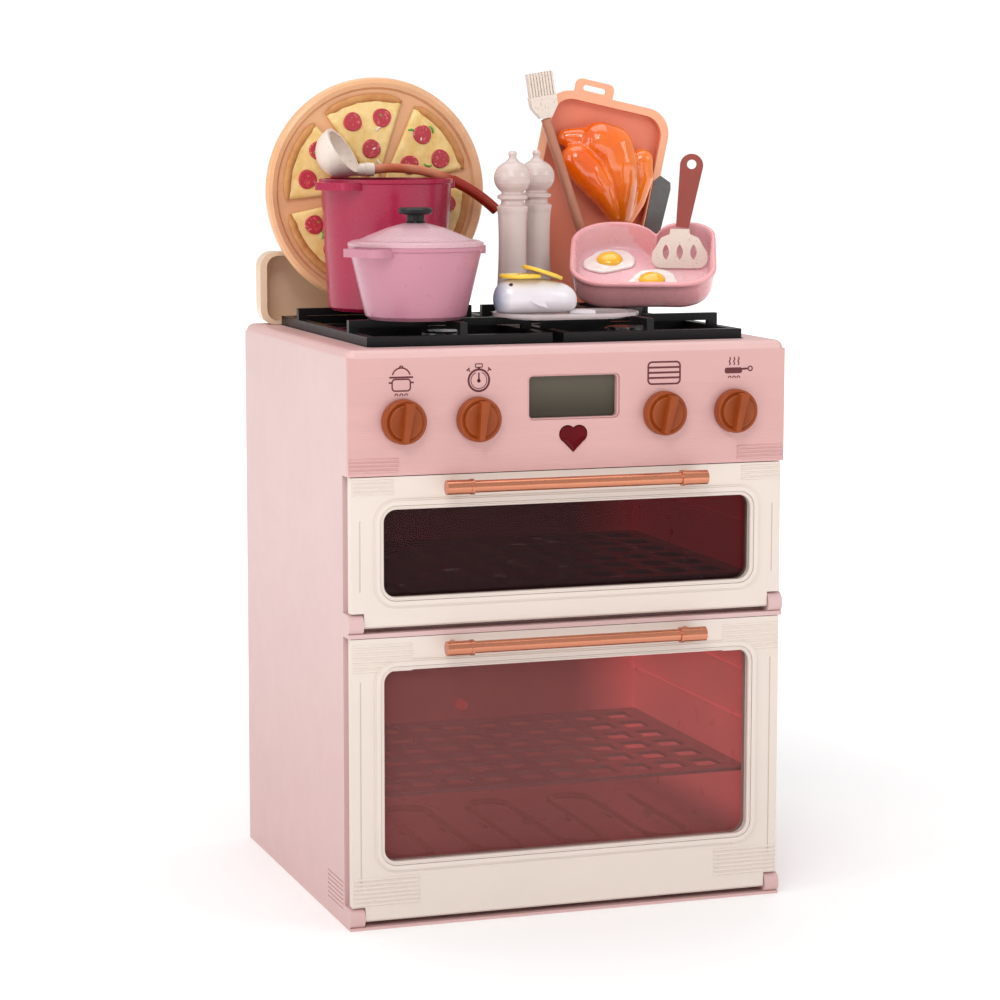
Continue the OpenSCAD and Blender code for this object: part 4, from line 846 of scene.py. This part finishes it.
RACK_Y = 24.04                          # just behind the frying pan
TRAY_AT = (Matrix.Translation((68.0, RACK_Y + 27, 259.1)) @ turned("X", 90)
           @ turned("Z", -12) @ Matrix.Translation((-18.0, 36.0, 0.0)))
CHICKEN_AT = TRAY_AT @ Matrix.Translation((1.0, 13.0, 0.0))
CHICKEN_VOXEL = 0.6
CHICKEN_FLOOR = 1.75                    # just above the tray's own floor
# Each lobe is a chain of points on the tray: x, y, height and radius
CHICKEN_LOBES = (
    # breast
    ((-4.5, 15, 9.2, 10.0), (1.5, 13.6, 9.6, 11.0), (5, 7, 10.4, 10.6),
     (8.2, 0.5, 10.2, 9.2), (10.8, -6, 9.3, 7.6), (13.8, -14, 8, 5.2)),
    # the leg that lies across it
    ((-14.6, 5, 11.6, 7.6), (-8.6, 0.6, 13.0, 7.9), (-2, -4.4, 12.6, 7.0),
     (4, -9.4, 11.0, 5.4), (9.8, -15, 9, 4.0)),
    # right and left wing
    ((18.6, 11.8, 7.2, 5.4), (20.8, 4, 7.2, 5.1), (20, -7, 7, 4.5), (17.6, -16, 7, 3.4)),
    ((-19.4, 14.2, 5.8, 4.3), (-13, 15.2, 6.8, 5.4)),
)


def sphere(c, r, seg=20, rings=12):
    """A ball with its middle at c."""
    verts, faces = [], []
    for j in range(1, rings):
        t = math.pi * j / rings
        for a in around(seg):
            verts.append((c[0] + r * math.sin(t) * math.cos(a),
                          c[1] + r * math.sin(t) * math.sin(a), c[2] + r * math.cos(t)))
    verts += [(c[0], c[1], c[2] + r), (c[0], c[1], c[2] - r)]
    top, bottom = len(verts) - 2, len(verts) - 1
    for j in range(rings - 2):
        a, b = j * seg, (j + 1) * seg
        faces += [(a + i, b + i, b + (i + 1) % seg, a + (i + 1) % seg)
                  for i in range(seg)]
    last = (rings - 2) * seg
    for i in range(seg):
        faces.append((top, i, (i + 1) % seg))
        faces.append((bottom, last + (i + 1) % seg, last + i))
    return verts, faces


def chain(points, steps=12):
    """Spheres strung between each two neighbouring points of a chain."""
    out = []
    for p, q in zip(points, points[1:]):
        for s in range(steps):
            t = s / steps
            c = [p[k] * (1 - t) + q[k] * t for k in range(4)]
            out.append(sphere(c[:3], c[3]))
    out.append(sphere(points[-1][:3], points[-1][3]))
    return out


def fused(name, blobs, mat, body, where, voxel, smooth, floor):
    """Blobs fused into one skin by a voxel remesh, smoothed, and kept above a floor."""
    o = mesh_piece(name, join(blobs), mat, body)
    rm = o.modifiers.new("remesh", "REMESH")
    rm.mode = "VOXEL"
    rm.voxel_size = voxel * MM
    rm.use_smooth_shade = True
    sm = o.modifiers.new("smooth", "SMOOTH")
    sm.factor = 0.5
    sm.iterations = smooth
    bpy.context.view_layer.update()
    dg = bpy.context.evaluated_depsgraph_get()
    me = bpy.data.meshes.new_from_object(o.evaluated_get(dg))
    o.modifiers.clear()
    for vert in me.vertices:
        p = vert.co / MM
        p.z = max(p.z, floor)
        vert.co = (where @ p) * MM
    for p in me.polygons:
        p.use_smooth = True
    me.materials.clear()
    me.materials.append(mat)
    old = o.data
    o.data = me
    bpy.data.meshes.remove(old)
    return o


blobs = [ball for lobe in CHICKEN_LOBES for ball in chain(lobe)]
chicken = fused("roast_chicken_skin", blobs, ORANGE, "tray", CHICKEN_AT, CHICKEN_VOXEL,
                smooth=9, floor=CHICKEN_FLOOR)
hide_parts("roast_chicken")


# -------------------------------------------------------- fish and lemon

FISH_AT = Matrix.Translation((-5.3, -54.0, 254.55))
BELLY_Z = 1.2                           # below this the body is squashed flat
# Stations from head to tail root: x, half width, height of the middle, half height
FISH_STATIONS = (
    (-18.2, 0.8, 6.4, 0.8), (-18.0, 2.0, 6.4, 2.2), (-17.3, 3.9, 6.6, 4.4),
    (-16.0, 5.4, 6.9, 6.3), (-13.6, 6.8, 7.3, 7.5), (-10.2, 7.6, 7.5, 8.0),
    (-5.2, 8.0, 7.5, 8.1), (0.0, 7.9, 7.4, 7.9), (5.0, 7.6, 7.2, 7.7),
    (9.6, 7.0, 6.9, 7.2), (13.6, 6.1, 6.4, 6.5), (16.6, 4.6, 6.0, 5.2),
    (18.5, 2.7, 5.7, 3.4), (19.2, 1.0, 5.6, 1.2))
TAIL = ((15.6, -1.8), (20.5, -4.4), (25.6, -6.6), (25.0, -3.2), (23.8, 0.0), (25.0, 3.2),
        (25.6, 6.6), (20.5, 4.4), (15.6, 1.8))
# Side fin: x, height, and how far the point lies from the body's middle plane
SIDE_FIN = ((-4.5, 6.0, 8.02), (-0.5, 4.0, 8.3), (3.5, 3.0, 8.2), (2.0, 5.4, 7.95),
            (-1.5, 7.0, 7.9))
FIN_T = 0.7
EYE_X, EYE_Y, EYE_Z, EYE_R = -12.0, 4.35, 12.6, 1.05


def fish_body(n=40):
    """A lofted body from the blunt head to the tail root, flat underneath."""
    verts = []
    for x, half_w, middle, half_h in FISH_STATIONS:
        for a in around(n):
            z = middle + half_h * math.sin(a)
            if z < BELLY_Z:
                z = BELLY_Z - (BELLY_Z - z) * 0.5
            verts.append((x, half_w * math.cos(a), max(0.02, z)))
    rows = len(FISH_STATIONS)
    return verts, bands(rows, n) + [first_cap(n), last_cap(rows, n)]


def plate_mesh(outline, z0, z1, swell):
    """A thin plate with a slightly drawn-in and swollen top."""
    n = len(outline)
    cx = sum(p[0] for p in outline) / n
    cy = sum(p[1] for p in outline) / n
    verts = [(x, y, z0) for x, y in outline]
    for k, z in ((0.97, z1), (0.6, z1 + swell)):
        verts += [(cx + (x - cx) * k, cy + (y - cy) * k, z) for x, y in outline]
    return verts, [first_cap(n)] + bands(3, n) + [last_cap(3, n)]


def side_fin():
    """The small five-sided fin on the side that faces the front."""
    n = len(SIDE_FIN)
    outer = [(x, -y, z) for x, z, y in SIDE_FIN]
    inner = [(x, y + FIN_T, z) for x, y, z in outer]
    sides = [(i, i + n, (i + 1) % n + n, (i + 1) % n) for i in range(n)]
    return outer + inner, [tuple(range(n)), tuple(reversed(range(n, 2 * n)))] + sides


body = mesh_piece("fish_body", fish_body(), FISH, "fish", where=FISH_AT)
sub = body.modifiers.new("round", "SUBSURF")
sub.levels = sub.render_levels = 1
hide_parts("fish")
mesh_piece("fish_fins", join([plate_mesh(TAIL, 0.1, 1.5, 0.3), side_fin()]), FISH, "fish",
           smooth=False, where=FISH_AT)
mesh_piece("fish_eyes", join([sphere((EYE_X, side * EYE_Y, EYE_Z), EYE_R, 24, 14)
                              for side in (-1, 1)]), EYE, "fish", where=FISH_AT)

# Left and right slice: x, y, z and tip in degrees
LEMONS = ((-11.8, -54.5, 270.25, 0), (-1.5, -53.0, 271.5, 18))
# Radius and height, all round the rind's section
RIND_SECTION = ((9.0, 0.2), (9.0, 1.2), (8.8, 1.45), (8.1, 1.55), (7.9, 1.25),
                (7.9, 0.25), (8.1, 0.0), (8.8, 0.0))
SEGMENTS = 9
SEGMENT_ANGLES = (1.2, 7, 13, 19, 25, 31, 36.8)     # points on a segment's outer edge


def lemon_rind(n=56):
    """The ring of peel."""
    m = len(RIND_SECTION)
    verts = [(r * math.cos(a), r * math.sin(a), z)
             for a in around(n) for r, z in RIND_SECTION]
    faces = []
    for i in range(n):
        a, b = i * m, (i + 1) % n * m
        faces += [(a + j, b + j, b + (j + 1) % m, a + (j + 1) % m) for j in range(m)]
    return verts, faces


def lemon_segment(start):
    """A wedge of flesh whose white skin starts at an angle in degrees."""
    polar = [(0.9, start + 18)] + [(7.5, start + t) for t in SEGMENT_ANGLES]
    outline = [(r * math.cos(math.radians(a)), r * math.sin(math.radians(a)))
               for r, a in polar]
    return plate_mesh(outline, 0.1, 1.4, 0.25)


rinds, flesh = [], []
for k, (x, y, z, tip) in enumerate(LEMONS):
    where = Matrix.Translation((x, y, z)) @ turned("Y", tip)
    rinds.append(placed(lemon_rind(), where))
    for seg in range(SEGMENTS):
        flesh.append(placed(lemon_segment(seg * (360 // SEGMENTS) + 4 + k * 11), where))
    core = disc(0, 0, 0.05, 7.9, 1.1, rim=0.2, n=56, dish=0.0, wobble=0.0)
    flesh.append(placed(core, where))
rind = mesh_piece("lemon_rinds", join(rinds), RIND, "fish")
mesh_piece("lemon_pulp", join(flesh), LEMON, "fish", smooth=False)
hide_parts("lemon_slices")


# -------------------------------------------------------- camera, floor and light
# Metres from here on

CAMERA_AT = (-0.42353, -1.23143, 0.33802)
LENS, SENSOR = 105.3, 36.0              # millimetres
AZIMUTH, ELEVATION, ROLL = (math.radians(a) for a in (-18.89, 7.46, 0.07))
cam_data = bpy.data.cameras.new("camera")
cam_data.lens = LENS
cam_data.sensor_width = SENSOR
cam_data.clip_start = 0.02
cam = bpy.data.objects.new("camera", cam_data)
scene.collection.objects.link(cam)
cam.location = CAMERA_AT
ahead = Vector((-math.sin(AZIMUTH) * math.cos(ELEVATION),
                math.cos(AZIMUTH) * math.cos(ELEVATION), -math.sin(ELEVATION)))
cam.rotation_mode = "QUATERNION"
cam.rotation_quaternion = (ahead.to_track_quat("-Z", "Y")
                           @ Matrix.Rotation(ROLL, 4, "Z").to_quaternion())
scene.camera = cam

FLOOR_HALF = 4.0
# The floor glows a little near the toy and more from afar, where it turns plain white
GLOW_NEAR, GLOW_FAR = 0.25, 1.2
GLOW_LOW, GLOW_HIGH = 0.08, 0.8
floor_me = bpy.data.meshes.new("floor")
floor_me.from_pydata([(-FLOOR_HALF, -FLOOR_HALF, 0), (FLOOR_HALF, -FLOOR_HALF, 0),
                      (FLOOR_HALF, FLOOR_HALF, 0), (-FLOOR_HALF, FLOOR_HALF, 0)],
                     [], [(0, 1, 2, 3)])
floor = bpy.data.objects.new("floor", floor_me)
scene.collection.objects.link(floor)
floor_mat = bpy.data.materials.new("floor_white")
floor_mat.use_nodes = True
ft, fb = floor_mat.node_tree, shader(floor_mat)
for socket, value in (("Base Color", (0.95, 0.95, 0.95, 1)), ("Roughness", 0.6),
                      ("Specular IOR Level", 0.2), ("Emission Color", RGBA_WHITE)):
    fb.inputs[socket].default_value = value
spot = node(ft, "ShaderNodeTexCoord", -900, 0)
away = node(ft, "ShaderNodeVectorMath", -700, 0, operation="LENGTH")
ft.links.new(spot.outputs["Object"], away.inputs[0])
ft.links.new(mapped(ft, -500, 0, away.outputs["Value"], GLOW_NEAR, GLOW_FAR, GLOW_LOW,
                    GLOW_HIGH), fb.inputs["Emission Strength"])
floor_me.materials.append(floor_mat)

# A white world: dimmer as a light than as the backdrop that the camera sees
WORLD_LIGHT, WORLD_SEEN = 0.54, 1.05
world = bpy.data.worlds.new("studio")
scene.world = world
world.use_nodes = True
wt = world.node_tree
bg = wt.nodes["Background"]
bg.inputs["Color"].default_value = RGBA_WHITE
bg.inputs["Strength"].default_value = WORLD_LIGHT
bright = node(wt, "ShaderNodeBackground", 0, -200, Color=RGBA_WHITE, Strength=WORLD_SEEN)
path = node(wt, "ShaderNodeLightPath", -200, 200)
pick = node(wt, "ShaderNodeMixShader", 200, 0)
wt.links.new(path.outputs["Is Camera Ray"], pick.inputs["Fac"])
wt.links.new(bg.outputs["Background"], pick.inputs[1])
wt.links.new(bright.outputs["Background"], pick.inputs[2])
wt.links.new(pick.outputs["Shader"], wt.nodes["World Output"].inputs["Surface"])

# Name, place, the point it is aimed at, side length, power in watts
SOFTBOXES = (
    ("key", (-0.9, -1.5, 1.6), (0, 0, 0.15), 1.1, 12.5),
    ("fill_left", (-1.6, -0.5, 0.7), (0, 0, 0.15), 0.9, 5.5),
    ("fill_right", (1.4, -1.2, 0.9), (0, 0, 0.15), 0.8, 4.5),
    ("spark", (-0.55, -1.25, 1.15), (0.03, 0, 0.28), 0.16, 1.6),
    ("top", (0.0, 0.2, 1.7), (0, 0, 0.1), 1.4, 10),
)
for name, at, aim, size, power in SOFTBOXES:
    light = bpy.data.lights.new(name, "AREA")
    light.shape = "RECTANGLE"
    light.size = light.size_y = size
    light.energy = power
    lamp = bpy.data.objects.new(name, light)
    lamp.location = at
    lamp.rotation_mode = "QUATERNION"
    lamp.rotation_quaternion = (Vector(aim) - Vector(at)).to_track_quat("-Z", "Y")
    scene.collection.objects.link(lamp)

bpy.context.view_layer.update()
